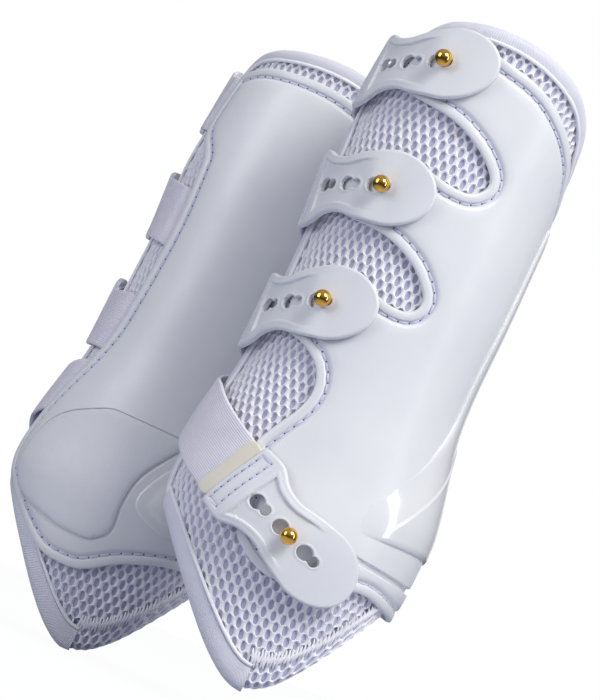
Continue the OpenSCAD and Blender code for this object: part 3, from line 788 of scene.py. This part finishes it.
# The wing on the inner side has a low border and a bevelled field
WING_PROFILE = np.array(((0, 0.1), (0.4, 0.5), (1.2, 0.6), (4, 0.62), (6.8, 1.75), (9, 1.8)))
WING_EASE, WING_HEAD, WING_FADE = 18, 104, 30
guard_shape = Outline([guard_outline()], 0.9)


def guard_relief(points, height):
    """Wing that swells out of the shell outside, bevelled wing inside, and the rim of the fetlock cup."""
    a, z = angle_at(points[:, 0]), points[:, 1]
    low = 1 - ramp((z - WING_HEAD) / WING_FADE)
    gone = (points[:, 0] - flat(guard_outer(z))) / WING_EASE
    height = height * mix(1, 0.04 + 0.96 * ramp(gone), low * (a < 90))
    bevelled = np.interp(guard_shape.depth(points), WING_PROFILE[:, 0], WING_PROFILE[:, 1])
    height = mix(height, bevelled, low * ramp((a - 110) / 20))
    past = np.minimum(points[:, 0] - flat(cup_rim(z)), flat(180 - cup_rim(z)) - points[:, 0])
    return height + CUP_LIFT * ramp(past / 0.8) * ramp((z - CUP_FOOT) / 8) * (z < CUP_TOP)


rim_z = np.linspace(CUP_FOOT, CUP_TOP, 110)
rim_points = np.concatenate([
    np.stack([flat(turn) + k * way, rim_z], -1)
    for turn, way in ((cup_rim(rim_z), 1), (180 - cup_rim(rim_z), -1)) for k in (-0.7, 0, 0.4, 0.8, 1.6)])
guard_plate = plate_on_leg(guard_shape, GUARD_PROFILE, ON_SHELL, 3.5, guard_relief, rim_points)
strike_plate = plate_on_leg(strike_shape, STRIKE_PROFILE, ON_SHELL, 2.5)

for side in SIDES:
    make(side, "shell_moulding", shell_plate, SHELL, replaces=["shell"])
    make(side, "shell_stitches", shell_thread, THREAD)
    # Dark marks of painted shade at the needle holes of the shell's stitching.
    make(side, "shell_needle_holes", shell_needle_shade, NEEDLE_HOLE_SHADE)
    make(side, "guard_moulding", guard_plate, GUARD, replaces=["tendon_guard"])
    make(side, "strike_grain", strike_plate, STRIKE, replaces=["strike_pad"])


# Liner: spacer mesh over its backing, foam and lining

CELL_W, CELL_H = 4.45, 8.2
HOLE_W, HOLE_H = 2.6, 5.0
STRAND_TOP, STRAND_SIDE, STRAND_FOOT = 0.15, -0.2, -1.0


def honeycomb(low, high, keep, place):
    """Knitted mesh laid over a flat field: strands round oval holes in staggered rows."""
    column = np.arange(math.floor(low[0] / CELL_W), math.ceil(high[0] / CELL_W) + 1)
    row = np.arange(math.floor(2 * low[1] / CELL_H), math.ceil(2 * high[1] / CELL_H) + 1)
    i, j = (x.ravel() for x in np.meshgrid(column, row))
    centres = np.stack([(i + 0.5 * (j % 2)) * CELL_W, j * CELL_H / 2], -1)
    centres = centres[keep(centres)]
    w, h = CELL_W / 2, CELL_H / 2
    peak = (w * w + h * h) / (2 * h)
    shoulder = peak - w * w / h
    corners = np.array((
        (w, -shoulder), (w, shoulder), (0, peak), (-w, shoulder), (-w, -shoulder), (0, -peak)))
    after = np.roll(corners, -1, axis=0)
    rim_points = np.stack([mix(corners, after, k / 3) for k in range(3)], 1).reshape(-1, 2)
    turn = np.arctan2(rim_points[:, 1] / HOLE_H, rim_points[:, 0] / HOLE_W)
    hole = np.stack([np.cos(turn) * HOLE_W / 2, np.sin(turn) * HOLE_H / 2], -1)
    n = len(rim_points)
    border = (centres[:, None] + rim_points).reshape(-1, 2)
    _, first, index = np.unique(
        np.round(border * 100).astype(int), axis=0, return_index=True, return_inverse=True)
    index = index.reshape(len(centres), n)
    side = (centres[:, None] + hole).reshape(-1, 2)
    foot = (centres[:, None] + hole * 0.86).reshape(-1, 2)
    uv = np.concatenate([border[first], side, foot])
    off = np.repeat((STRAND_TOP, STRAND_SIDE, STRAND_FOOT), (len(first), len(side), len(foot)))
    ring = np.arange(len(side)).reshape(-1, n) + len(first)
    on = np.roll(np.arange(n), -1)
    faces = np.concatenate([
        np.stack([index, index[:, on], ring[:, on], ring], -1).reshape(-1, 4),
        np.stack([ring, ring[:, on], ring[:, on] + len(side), ring + len(side)], -1).reshape(-1, 4)])
    return place(uv, off), faces.tolist(), uv


MESH_EDGE, MESH_IN, MESH_TUCK = 2.0, 3.2, 6.0


def mesh_shows(uv):
    """Where the spacer mesh shows: inside the binding, above the roll and not deep under the shell."""
    a, z = angle_at(uv[:, 0]), uv[:, 1]
    shown = (uv[:, 0] > flat(FLAP_OUTER) + MESH_EDGE) & (uv[:, 0] < flat(FLAP_INNER) - MESH_EDGE)
    shown &= z > liner_low(a) + 0.5
    for reach in (-CELL_W / 2, CELL_W / 2):
        beside = angle_at(uv[:, 0] + reach)
        shown &= (z - MESH_IN > rim(beside)) & (z + MESH_IN < liner_high(beside))
    covered = inside(uv, shell_shape.loops)
    covered[covered] = shell_shape.depth(uv[covered]) > MESH_TUCK
    return shown & ~covered


mesh_face = honeycomb((flat(FLAP_OUTER), 0), (flat(FLAP_INNER), LINER_TOP), mesh_shows, on_flat)

LAYER_COLS, LAYER_ROWS = 150, 44
LAYER_IN = 1.3


def layer(out, inn):
    """One closed layer of the liner between two offsets, kept inside the binding."""
    beside = LAYER_IN / float(per_degree(FLAP_OUTER, WAIST_Z))
    a = np.linspace(FLAP_OUTER + beside, FLAP_INNER - beside, LAYER_COLS)[None, :]
    low = liner_low(a) + LAYER_IN * (liner_low(a) < rim(a) + 1)
    z = mix(low, liner_high(a) - LAYER_IN, np.linspace(0, 1, LAYER_ROWS)[:, None])
    a = np.broadcast_to(a, z.shape)
    return thick(on_leg(a, z, out), on_leg(a, z, inn), np.stack([flat(a), z], -1))


# Lower roll: half of its section from the seam, round under the rim and up the inside
roll_section = curve((
    (0, (13.4, -1.0)), (1, (10.6, 0.35)), (2, (6.6, 0.75)), (3, (2.6, -0.2)), (4, (0.5, -2.6)),
    (5, (0.4, -5.4)), (6, (2.4, -8.2)), (7, (6.5, -9.1)), (8, (11, -8.6)), (9, (13.4, -7.2))))
ROLL_STEPS, ROLL_COLS = 36, 120
roll_line = resample(roll_section(np.linspace(0, 9, 400)), 0.25, closed=False)
roll_run = 0.25 * np.arange(len(roll_line))
roll_out = -inward(roll_line)
roll_out[0], roll_out[-1] = roll_out[1], roll_out[-2]
ROLL_WRAP = 29


def on_roll(uv, off):
    """Point on the roll: distance round the leg, distance down its section from the seam, and offset."""
    a, s = angle_at(uv[..., 0]), -uv[..., 1]
    h = np.interp(s, roll_run, roll_line[:, 0]) + off * np.interp(s, roll_run, roll_out[:, 0])
    o = np.interp(s, roll_run, roll_line[:, 1]) + off * np.interp(s, roll_run, roll_out[:, 1])
    return on_leg(a, rim(a) + h * roll_share(a), o)


def roll_core():
    u = np.linspace(flat(-ROLL_RAMP + 0.8), flat(180 + ROLL_RAMP - 0.8), ROLL_COLS)
    s = np.linspace(0, roll_run[-1], ROLL_STEPS)
    uv = np.stack(np.meshgrid(u, -s, indexing="ij"), -1)
    points, faces = loft(on_roll(uv, STRAND_FOOT + 0.15)[:, ::-1])
    return points, faces, uv[:, ::-1].reshape(-1, 2)


def roll_shows(uv):
    a = angle_at(uv[:, 0])
    return (roll_share(a) > 0.55) & (-uv[:, 1] > 0.6) & (-uv[:, 1] < ROLL_WRAP)


roll_face = honeycomb((flat(-ROLL_RAMP), -ROLL_WRAP), (flat(180 + ROLL_RAMP), 0), roll_shows, on_roll)

SEAM_PITCH, SEAM_REACH, SEAM_LIFT, SEAM_RISE = 0.7, 3.2, 1.2, 0.25
SEAM_SWING, SEAM_R = 0.55, 0.52


def roll_seam():
    """Dense overlocked seam where the mesh is turned under, each thread a little out of line."""
    draw = np.random.default_rng(7)
    u = np.arange(flat(1), flat(179), SEAM_PITCH)
    swing = np.where(np.arange(len(u)) % 2, SEAM_SWING, -SEAM_SWING)
    a, b = angle_at(u - swing + draw.normal(0, 0.18, len(u))), angle_at(u + swing)
    middle = rim(angle_at(u)) + ROLL_H + ROLL_GAP / 2
    low = middle - SEAM_REACH + draw.normal(0, 0.4, len(u))
    high = middle + SEAM_REACH + draw.normal(0, 0.45, len(u))
    starts, ends = on_leg(a, low, SEAM_LIFT), on_leg(b, high, SEAM_LIFT + SEAM_RISE)
    return beads(starts, ends, straight_out(a, middle), SEAM_R, 0.7)


# Binding: tape folded over the liner's edge, with a piping along it

# Section: share of the width into the liner, or distance out of its edge, and offset
TAPE_SECTION = np.array((
    (1.0, 0.3), (0.97, 0.95), (0.75, 1.3), (0.36, 1.4), (0.03, 1.05), (-1.2, -0.4), (-1.75, -2.6),
    (-1.85, -4.2), (-1.7, -6), (-1.1, -8), (0.04, -9.4), (0.36, -9.8), (0.78, -9.7), (1.0, -9.3),
    (1.0, -8.75), (0.17, -8.75), (-0.3, -7.2), (-0.9, -4.2), (-0.4, -1.2), (0.14, 0.3)))
TAPE_LOW_W, TAPE_FRONT_W, TAPE_TOP_W = 9.4, 11.5, 4.6
PIPING_Q, PIPING_OFF, PIPING_R = 1.1, 0.8, 0.85
TAPE_STEP, TAPE_EASE = 1.5, 7


def binding_path():
    """Liner's bound edge laid flat, from the outer lobe tip over the top to the inner one."""
    out_low, in_low = np.linspace(1, FLAP_OUTER, 150), np.linspace(FLAP_INNER, 179, 150)
    over = np.linspace(FLAP_OUTER, FLAP_INNER, 500)
    up_out = np.linspace(rim(FLAP_OUTER), liner_high(FLAP_OUTER), 150)
    down_in = np.linspace(liner_high(FLAP_INNER), rim(FLAP_INNER), 150)
    line = np.concatenate([
        np.stack([flat(out_low), rim(out_low)], -1),
        np.stack([np.full(150, flat(FLAP_OUTER)), up_out], -1),
        np.stack([flat(over), liner_high(over)], -1),
        np.stack([np.full(150, flat(FLAP_INNER)), down_in], -1),
        np.stack([flat(in_low), rim(in_low)], -1)])
    line = resample(line, 0.5, closed=False)
    reach = int(TAPE_EASE / 0.5)
    weights = np.hanning(2 * reach + 3)[1:-1]
    padded = np.concatenate([
        2 * line[0] - line[reach:0:-1], line, 2 * line[-1] - line[-2:-reach - 2:-1]])
    eased = np.stack([np.convolve(padded[:, k], weights / weights.sum(), "valid") for k in (0, 1)], -1)
    return resample(eased, TAPE_STEP, closed=False)


tape_line = binding_path()
tape_in = -inward(tape_line)
tape_in[0], tape_in[-1] = tape_in[1], tape_in[-2]


def tape_width():
    """Width of the tape: broad below and up the outer flap's front, narrow elsewhere."""
    a, z = angle_at(tape_line[:, 0]), tape_line[:, 1]
    front = ramp((-65 - a) / 12) * (1 - ramp((z - 235) / 25))
    return mix(TAPE_LOW_W, mix(TAPE_TOP_W, TAPE_FRONT_W, front), ramp((z - 70) / 130))


def beside_edge(q, off):
    """Line at a share of the tape's width into the liner from its bound edge, or at a distance out of it."""
    q = np.where(q > 0, q * tape_width(), q)[:, None]
    a, z = angle_at(tape_line[:, 0]), tape_line[:, 1]
    stretch = per_degree(a, FLAT_Z) / per_degree(a, z)
    uv = tape_line + q * tape_in * np.stack([stretch, np.ones_like(stretch)], -1)
    return on_flat(uv, np.full(len(uv), off))


def binding_tape():
    rings = np.stack([beside_edge(q, off) for q, off in TAPE_SECTION], 1)
    points, faces = loft(rings[:, ::-1])
    section = TAPE_SECTION * np.where(TAPE_SECTION > 0, (TAPE_TOP_W, 1), 1)
    run = np.cumsum(np.linalg.norm(np.diff(section, axis=0, prepend=section[:1]), axis=1))[::-1]
    along = TAPE_STEP * np.arange(len(tape_line))
    cloth = np.stack(np.broadcast_arrays(along[:, None], run[None, :]), -1)
    return points, faces, cloth.reshape(-1, 2)


tape_shape = binding_tape()
piping_shape = tube(beside_edge(PIPING_Q, PIPING_OFF), PIPING_R)
seam_shape, core_shape = roll_seam(), roll_core()
BACK_OUT, BACK_IN, FOAM_GAP = -1.05, -2.2, 0.1
back_shape, lining_shape = layer(BACK_OUT, BACK_IN), layer(LINING_OUT, LINING_IN)
foam_shape = layer(FOAM_OUT, LINING_OUT + FOAM_GAP)

for side in SIDES:
    make(side, "mesh_face", mesh_face, YARN, sharp=70)
    make(side, "mesh_back", back_shape, MESH_BACK, replaces=["spacer_mesh"])
    foam = make(side, "foam_core", foam_shape, FOAM, replaces=["foam_pad"])
    make(side, "lining_cloth", lining_shape, LINING, replaces=["inner_lining"])
    roll = make(side, "roll_core", core_shape, MESH_BACK, replaces=["lower_roll"])
    make(side, "roll_face", roll_face, YARN, sharp=70)
    make(side, "roll_seam", seam_shape, YARN)
    make(side, "binding_tape", tape_shape, TAPE, replaces=["edge_binding"])
    make(side, "binding_piping", piping_shape, YARN)


# Straps: elastic, moulded tab, ball stud and tag

KEYHOLE_FIRST = TAB_L - TAB_ROUND_W / 2 - 3.5
WALK = 0.5
WALK_REACH = 240


class Strap:
    """The line of one strap round the leg, measured from the sewn end of its tab."""

    def __init__(self, numbers):
        self.angle, self.z, self.slope, self.hole, self.free, self.edge_z, self.lift = numbers
        self.stud_at = KEYHOLE_FIRST - self.hole * KEYHOLE_PITCH
        self.fold = -self.free
        rise = math.radians(self.slope)
        self.cos, self.sin = math.cos(rise), math.sin(rise)
        back, ahead = self.walk(-WALK), self.walk(WALK)
        self.line = np.array(back[:0:-1] + ahead)
        self.along = self.stud_at + WALK * (np.arange(len(self.line)) - (len(back) - 1))

    def walk(self, step):
        places = [(self.angle, self.z)]
        for _ in range(WALK_REACH):
            a, z = places[-1]
            places.append((a + step * self.cos / float(per_degree(a, z)), z + step * self.sin))
        return places

    def place(self, along, across):
        """Angle and height at a distance along and across the strap."""
        a, z = (np.interp(along, self.along, self.line[:, k]) for k in (0, 1))
        return a - across * self.sin / per_degree(a, z), z + across * self.cos

    def point(self, along, across, off):
        a, z = self.place(along, across)
        return on_leg(a, z, off + self.lift)

    def out(self, along, across):
        return straight_out(*self.place(along, across))


straps = [Strap(numbers) for numbers in STRAPS]
ELASTIC_TUCK, ELASTIC_RISE = 5.0, 7.0
ELASTIC_SWELL, SWELL_AT = 1.0, 4.0
ELASTIC_EDGES = (-1, -0.985, -0.95)


def elastic(strap):
    """Elastic from under the shell's inner edge, round the front and under the tab."""
    w = np.concatenate([ELASTIC_EDGES, np.linspace(-0.88, 0.88, 23), [-x for x in ELASTIC_EDGES[::-1]]])
    thin = 0.45 * np.array([0.9 if abs(x) > 0.99 else 0.3 if abs(x) > 0.96 else 0 for x in w])
    across = w * ELASTIC_W / 2
    z = strap.edge_z + across
    edge = inner_edge(z) - 360
    tucked = edge - ELASTIC_TUCK / per_degree(edge, z)
    fold_a, fold_z = strap.place(strap.fold, across)
    gap = (fold_a - tucked) * per_degree((fold_a + tucked) / 2, z)
    rows_out, rows_in, cloth = [], [], []
    length = float(gap.mean())
    for u in np.linspace(0, 1, 36)[:-1]:
        a, height = mix(tucked, fold_a, u), mix(z, fold_z, u)
        gone = u * length - ELASTIC_TUCK
        rise = ramp(gone / ELASTIC_RISE)
        plain = mix(UNDER_SHELL + ELASTIC_T, ELASTIC_OUT + strap.lift, ramp(u))
        out = mix(UNDER_SHELL - 0.2, plain, rise)
        rows_out.append(on_leg(a, height, out - thin))
        rows_in.append(on_leg(a, height, np.maximum(out - ELASTIC_T, 0.2) + thin * rise))
        cloth.append(np.stack([across, np.full(len(w), u * length)], -1))
    for along in np.arange(strap.fold, TAB_OVERLAP - 1, 1.0):
        swell = ELASTIC_SWELL * (strap.free < TAB_OVERLAP) * ramp(1 - abs(along + SWELL_AT) / SWELL_AT)
        rows_out.append(strap.point(along, across, ELASTIC_OUT + swell - thin))
        rows_in.append(strap.point(along, across, ELASTIC_OUT + swell - ELASTIC_T + thin))
        cloth.append(np.stack([across, np.full(len(w), length + along - strap.fold)], -1))
    swap = [np.array(x)[:, ::-1] for x in (rows_out, rows_in, cloth)]
    return thick(*swap)


def tab_half(t):
    width = curve((
        (0, TAB_SEWN_W), (TAB_OVERLAP, TAB_SEWN_W + 1), (TAB_OVERLAP + 8, TAB_WAIST_W + 2),
        (TAB_OVERLAP + 16, TAB_WAIST_W), (KEYHOLE_FIRST - 12, TAB_ROUND_W - 4), (KEYHOLE_FIRST, TAB_ROUND_W)))
    past = np.clip((t - KEYHOLE_FIRST) / (TAB_L - KEYHOLE_FIRST), 0, 1)
    return np.where(t < KEYHOLE_FIRST, width(t) / 2, TAB_ROUND_W / 2 * np.sqrt(1 - past * past))


def tab_outline():
    t = np.concatenate([
        np.linspace(0, KEYHOLE_FIRST, 200),
        mix(KEYHOLE_FIRST, TAB_L, np.sin(np.linspace(0, math.pi / 2, 80)[1:]))])
    half = tab_half(t)
    loop = np.concatenate([np.stack([t, -half], -1), np.stack([t[::-1], half[::-1]], -1)[1:]])
    return rounded(loop, 2.2, 0.25)


def keyhole(at):
    """Outline of one keyhole, run so that the tab lies to its left."""
    wide, narrow = KEYHOLE_WIDE / 2, KEYHOLE_NARROW / 2
    reach = (KEYHOLE_STEP ** 2 + wide ** 2 - narrow ** 2) / (2 * KEYHOLE_STEP)
    neck = math.sqrt(wide ** 2 - reach ** 2)
    open_wide, open_narrow = math.atan2(neck, reach), math.atan2(neck, reach - KEYHOLE_STEP)
    turn = np.linspace(open_wide, 2 * math.pi - open_wide, 50)
    ends = np.linspace(-open_narrow, open_narrow, 40)
    loop = np.concatenate([
        np.stack([at - KEYHOLE_STEP + wide * np.cos(turn), wide * np.sin(turn)], -1),
        np.stack([at + narrow * np.cos(ends), narrow * np.sin(ends)], -1)])
    return loop[::-1]


PANEL_FROM, PANEL_TO, PANEL_IN, PANEL_GROOVE = 1.4, 8.2, 2.9, 0.9
RECESS_FROM, RECESS_IN, RECESS_DEPTH, RECESS_FADE = 12.6, 3.8, 0.9, (32, 43)
RECESS_STEP = 0.5
TAB_LIP, TAB_EDGE, SEWN_THIN = 0.22, 0.9, 0.8
tab_edge = Outline([tab_outline()], 1.0)
keyholes = [keyhole(KEYHOLE_FIRST - i * KEYHOLE_PITCH) for i in range(KEYHOLE_COUNT)]
tab_holes = Outline(keyholes, 0.6)
tab_shape = Outline([tab_outline()] + keyholes, 0.8)


def panel_depth(points):
    """Distance inside the sewn panel's border, below zero outside it."""
    t, w = points[:, 0], points[:, 1]
    return np.minimum(np.minimum(t - PANEL_FROM, PANEL_TO - t), tab_half(t) - PANEL_IN - np.abs(w))


def sewn_drop(t):
    """How much thinner the tab is towards its sewn end."""
    return SEWN_THIN * (1 - ramp(t / 11))


def tab_relief(points):
    """Height of the tab's face: eased edges, sunk field, sewn panel and lips round the keyholes."""
    t = points[:, 0]
    edge, hole = tab_edge.depth(points), tab_holes.depth(points)
    height = TAB_T - sewn_drop(t) - 0.85 * (1 - np.clip(edge / TAB_EDGE, 0, 1)) ** 2
    fade = 1 - ramp((t - RECESS_FADE[0]) / (RECESS_FADE[1] - RECESS_FADE[0]))
    sunk = np.minimum(edge - RECESS_IN, t - RECESS_FROM)
    height += fade * (0.3 * np.exp(-((sunk + 0.7) / 0.7) ** 2) - RECESS_DEPTH * ramp(sunk / RECESS_STEP))
    panel = panel_depth(points)
    height -= 0.5 * np.exp(-((panel - PANEL_GROOVE) / 0.5) ** 2) + 0.2 * ramp((panel - PANEL_GROOVE) / 0.5)
    height += TAB_LIP * (1 - ramp((hole - 0.5) / 0.7)) - 0.3 * (1 - np.clip(hole / 0.4, 0, 1)) ** 2
    return height


across_tab = np.arange(-TAB_SEWN_W / 2, TAB_SEWN_W / 2, 0.7)
along_panel = np.arange(PANEL_FROM, PANEL_TO, 0.7)
panel_half = float(tab_half(np.array(PANEL_TO / 2))) - PANEL_IN
panel_steps = (0.1, 0.5, 0.9, 1.3, 1.8)
tab_rows = np.concatenate(
    [np.stack(np.broadcast_arrays(t, across_tab), -1) for t in (
        RECESS_FROM - 1.4, RECESS_FROM - 0.7, RECESS_FROM, RECESS_FROM + RECESS_STEP, RECESS_FROM + 1.2,
        *[PANEL_FROM + k for k in panel_steps], *[PANEL_TO - k for k in panel_steps])]
    + [np.stack(np.broadcast_arrays(along_panel, side * (panel_half - k)), -1)
       for side in (-1, 1) for k in (0, 0.5, 0.9, 1.3, 1.8)])
tab_depths = (0.2, 0.5, 0.9, 1.4, RECESS_IN - 1.3, RECESS_IN - 0.6, RECESS_IN, RECESS_IN + RECESS_STEP)
tab_points, tab_faces = tab_shape.triangles(tab_depths, 1.0, 1.0, tab_rows)
tab_height = tab_relief(tab_points)


def tab(strap):
    t, w = tab_points.T
    foot = mix(ELASTIC_OUT - 0.05, TAB_IN, ramp((t - TAB_OVERLAP + 5) / 5))
    solid = closed_plate(strap.point(t, w, TAB_IN + tab_height), strap.point(t, w, foot), tab_faces)
    return (*solid, np.concatenate([tab_points, tab_points]))


def tab_stitches(strap):
    """Stitches round the sewn panel."""
    far = tab_half(np.array(PANEL_TO)) - PANEL_IN - PANEL_GROOVE
    low, high = PANEL_FROM + PANEL_GROOVE, PANEL_TO - PANEL_GROOVE
    box = np.array(((low, -far), (high, -far), (high, far), (low, far), (low, -far)))
    runs = [box[i:i + 2] for i in range(4)]

    def place(uv, lift):
        return strap.point(uv[:, 0], uv[:, 1], TAB_IN + TAB_T - sewn_drop(uv[:, 0]) - 0.6 + lift)
    return stitched(*stitch_places(runs, 3.5, 0.8), place, lambda uv: strap.out(uv[:, 0], uv[:, 1]), 0.5)


def ball_outline(lift):
    """Stud as (radius, height) points above the shell: shank, collar, neck and ball."""
    centre = TAB_IN + TAB_T + BALL_GAP + BALL_D / 2 - UNDER_SHELL - SHELL_T + lift
    collar = COLLAR_T + lift
    neck, radius = NECK_D / 2, BALL_D / 2
    start = math.asin(neck / radius)
    arc = np.linspace(math.pi - start, 0.18, 22)
    ball = [(radius * math.sin(t), centre + radius * math.cos(t)) for t in arc]
    foot = [(neck, -2.0), (neck, 0), (COLLAR_D / 2 - 0.2, 0.02), (COLLAR_D / 2, 0.15)]
    neck_line = [
        (COLLAR_D / 2, collar - 0.12), (COLLAR_D / 2 - 0.2, collar), (neck + 0.15, collar),
        (neck, collar + 0.15)]
    return foot + neck_line + ball


def stud(strap):
    origin = on_leg(strap.angle, strap.z, UNDER_SHELL + SHELL_T)
    return lathe(origin, straight_out(strap.angle, strap.z), ball_outline(strap.lift))


LABEL_GAP, LABEL_SHOWN, LABEL_R = 0.25, 6.8, 2.5


def label(strap):
    low, high = -LABEL_SHOWN - LABEL_GAP, -LABEL_GAP
    half = LABEL_L / 2 + 0.4
    loop = np.concatenate([
        np.array((x, y)) + LABEL_R * np.stack([np.cos(turn), np.sin(turn)], -1)
        for x, y, turn in (
            (high - LABEL_R, half - LABEL_R, np.linspace(0, 0.5, 12) * math.pi),
            (low + LABEL_R, half - LABEL_R, np.linspace(0.5, 1, 12) * math.pi),
            (low + LABEL_R, LABEL_R - half, np.linspace(1, 1.5, 12) * math.pi),
            (high - LABEL_R, LABEL_R - half, np.linspace(1.5, 2, 12) * math.pi))])
    shape = Outline([loop], 0.8)
    points, faces = shape.triangles((0.2, 0.5, 1.0), 1.6, 1.6)
    height = LABEL_T - 0.4 * (1 - np.clip(shape.depth(points) / 0.5, 0, 1)) ** 2
    base = ELASTIC_OUT + LABEL_GAP
    solid = closed_plate(
        strap.point(points[:, 0], points[:, 1], base + height),
        strap.point(points[:, 0], points[:, 1], np.full(len(points), base - 0.2)), faces)
    return (*solid, np.concatenate([points, points]))


BLEND_REACH = 3.0
for number, strap in enumerate(straps, 1):
    band_shape, moulding_shape, ball_shape = elastic(strap), tab(strap), stud(strap)
    thread_shape, needle_shade_shape = tab_stitches(strap)
    bend = [strap.point(strap.fold + reach, 0.0, ELASTIC_OUT) for reach in (-BLEND_REACH, BLEND_REACH)]
    for side in SIDES:
        body = f"strap_{number}"
        band = make(side, f"{body}_elastic", band_shape, ELASTIC,
                    replaces=[f"{body}_anchor", f"{body}_band"], rides=False)
        [to_side(p, side).tolist() for p in bend]
        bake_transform(band)
        make(side, f"{body}_moulding", moulding_shape, TAB, body, [f"{body}_tab"])
        make(side, f"{body}_stitches", thread_shape, THREAD, body)
        # Dark marks of painted shade at the needle holes of the tab's stitching.
        make(side, f"{body}_needle_holes", needle_shade_shape, NEEDLE_HOLE_SHADE, body)
        make(side, f"{body}_ball", ball_shape, BRASS, replaces=[f"{body}_stud"], sharp=50)

label_shape = label(straps[-1])
for side in SIDES:
    make(side, "label_tag", label_shape, TAG, f"strap_{len(straps)}", ["strap_label"])
    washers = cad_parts[f"{side}_stud_washers"]
    washers.data.materials.clear()
    washers.data.materials.append(STEEL)


# Camera, floor and light

ROLL, RISE, SWING = math.radians(22.6), math.radians(5.8), math.radians(-0.1)
CAMERA_AT = (-33, -1240, 20)
LENS = 145.1


def camera():
    data = bpy.data.cameras.new("camera")
    data.lens = LENS
    data.clip_end = 20
    thing = bpy.data.objects.new("camera", data)
    scene.collection.objects.link(thing)
    level = Matrix.Rotation(-SWING, 4, "Z") @ Matrix.Rotation(math.pi / 2 + RISE, 4, "X")
    thing.matrix_world = Matrix.Translation(Vector(CAMERA_AT) * MM) @ level @ Matrix.Rotation(ROLL, 4, "Z")
    scene.camera = thing


def mathematics(tree, kind, a, b):
    return node(tree, "ShaderNodeMath", ((0, a), (1, b)), operation=kind).outputs[0]


def floor():
    """Pale floor that shows white but for the shadow on it, and that glows to glossy and transmission rays in
    a painted pool of light round the boots.
    """
    half, low = 3.0, cad_box[0][2] - 0.0005
    mesh = bpy.data.meshes.new("floor")
    corners = [(x * half, y * half, low) for x, y in ((-1, -1), (1, -1), (1, 1), (-1, 1))]
    mesh.from_pydata(corners, [], [(0, 1, 2, 3)])
    made = bpy.data.materials.new("pale floor")
    made.use_nodes = True
    tree = made.node_tree
    plain = tree.nodes["Principled BSDF"]
    plain.inputs["Base Color"].default_value = (0.33, 0.36, 0.47, 1)
    plain.inputs["Roughness"].default_value = 0.9
    path = node(tree, "ShaderNodeLightPath").outputs
    seen = mathematics(tree, "MAXIMUM", path["Is Glossy Ray"], path["Is Transmission Ray"])
    seen = mathematics(tree, "MAXIMUM", path["Is Camera Ray"], seen)
    away = node(tree, "ShaderNodeVectorMath", (
        (0, node(tree, "ShaderNodeTexCoord").outputs["Object"]),), operation="LENGTH").outputs["Value"]
    # Painted pool of light: to glossy and transmission rays the floor glows at 0.6 near the boots, fading to
    # 0.05 by 0.45 m away, for metal to reflect.
    painted_glow_pool = node(tree, "ShaderNodeMapRange", (
        ("Value", away), ("From Min", 0.1), ("From Max", 0.45), ("To Min", 0.6), ("To Max", 0.05))).outputs[0]
    strength = mathematics(tree, "MAXIMUM", painted_glow_pool, mathematics(tree, "MULTIPLY", path["Is Camera Ray"], 1.05))
    glow = node(tree, "ShaderNodeEmission", (("Color", (1, 1, 1, 1)), ("Strength", strength)))
    both = node(tree, "ShaderNodeMixShader", (
        (0, mathematics(tree, "MULTIPLY", seen, 0.92)), (1, plain.outputs[0]), (2, glow.outputs[0])))
    tree.links.new(both.outputs[0], tree.nodes["Material Output"].inputs["Surface"])
    mesh.materials.append(made)
    thing = bpy.data.objects.new("floor", mesh)
    scene.collection.objects.link(thing)


def sky(low, high, tint):
    """White backdrop behind the boots, and a softer studio that lights them from above."""
    world = bpy.data.worlds.new("studio")
    scene.world = world
    world.use_nodes = True
    tree = world.node_tree
    place = node(tree, "ShaderNodeTexCoord").outputs["Generated"]
    way = node(tree, "ShaderNodeSeparateXYZ", ((0, place),)).outputs
    soft = tree.nodes["Background"]
    soft.inputs["Color"].default_value = (*tint, 1)
    level = node(tree, "ShaderNodeMapRange", (
        ("Value", way[2]), ("From Min", -0.3), ("From Max", 0.9), ("To Min", low), ("To Max", high)))
    tree.links.new(level.outputs[0], soft.inputs["Strength"])
    white = node(tree, "ShaderNodeBackground", (("Color", (1, 1, 1, 1)), ("Strength", 1.0)))
    path = node(tree, "ShaderNodeLightPath").outputs
    behind = node(tree, "ShaderNodeMapRange", (
        ("Value", way[1]), ("From Min", 0.88), ("From Max", 0.98))).outputs[0]
    shown = mathematics(tree, "MAXIMUM", path["Is Glossy Ray"], path["Is Transmission Ray"])
    shown = mathematics(tree, "MAXIMUM", path["Is Camera Ray"], mathematics(tree, "MULTIPLY", shown, behind))
    both = node(tree, "ShaderNodeMixShader", ((0, shown), (1, soft.outputs[0]), (2, white.outputs[0])))
    tree.links.new(both.outputs[0], tree.nodes["World Output"].inputs["Surface"])


def lamp(name, at, target, size, power, colour):
    data = bpy.data.lights.new(name, "AREA")
    data.shape = "RECTANGLE"
    data.size, data.size_y = size
    data.energy = power
    data.color = colour
    thing = bpy.data.objects.new(name, data)
    thing.location = at
    thing.rotation_euler = (Vector(target) - Vector(at)).to_track_quat("-Z", "Y").to_euler()
    scene.collection.objects.link(thing)


camera()
floor()
sky(0.05, 0.52, (0.90, 0.92, 1.0))
lamp("key", (0.58, -0.92, 1.2), (0.01, 0, 0.17), (0.7, 0.7), 16.0, (1.0, 0.99, 0.97))
lamp("strip", (1.15, -0.55, 0.4), (0.03, 0, 0.17), (0.16, 1.1), 3.4, (1.0, 1.0, 0.99))
lamp("fill", (-1.2, -0.75, 0.5), (-0.05, 0.05, 0.15), (0.6, 0.9), 5.3, (0.96, 0.97, 1.0))
scene.view_settings.view_transform = "Standard"
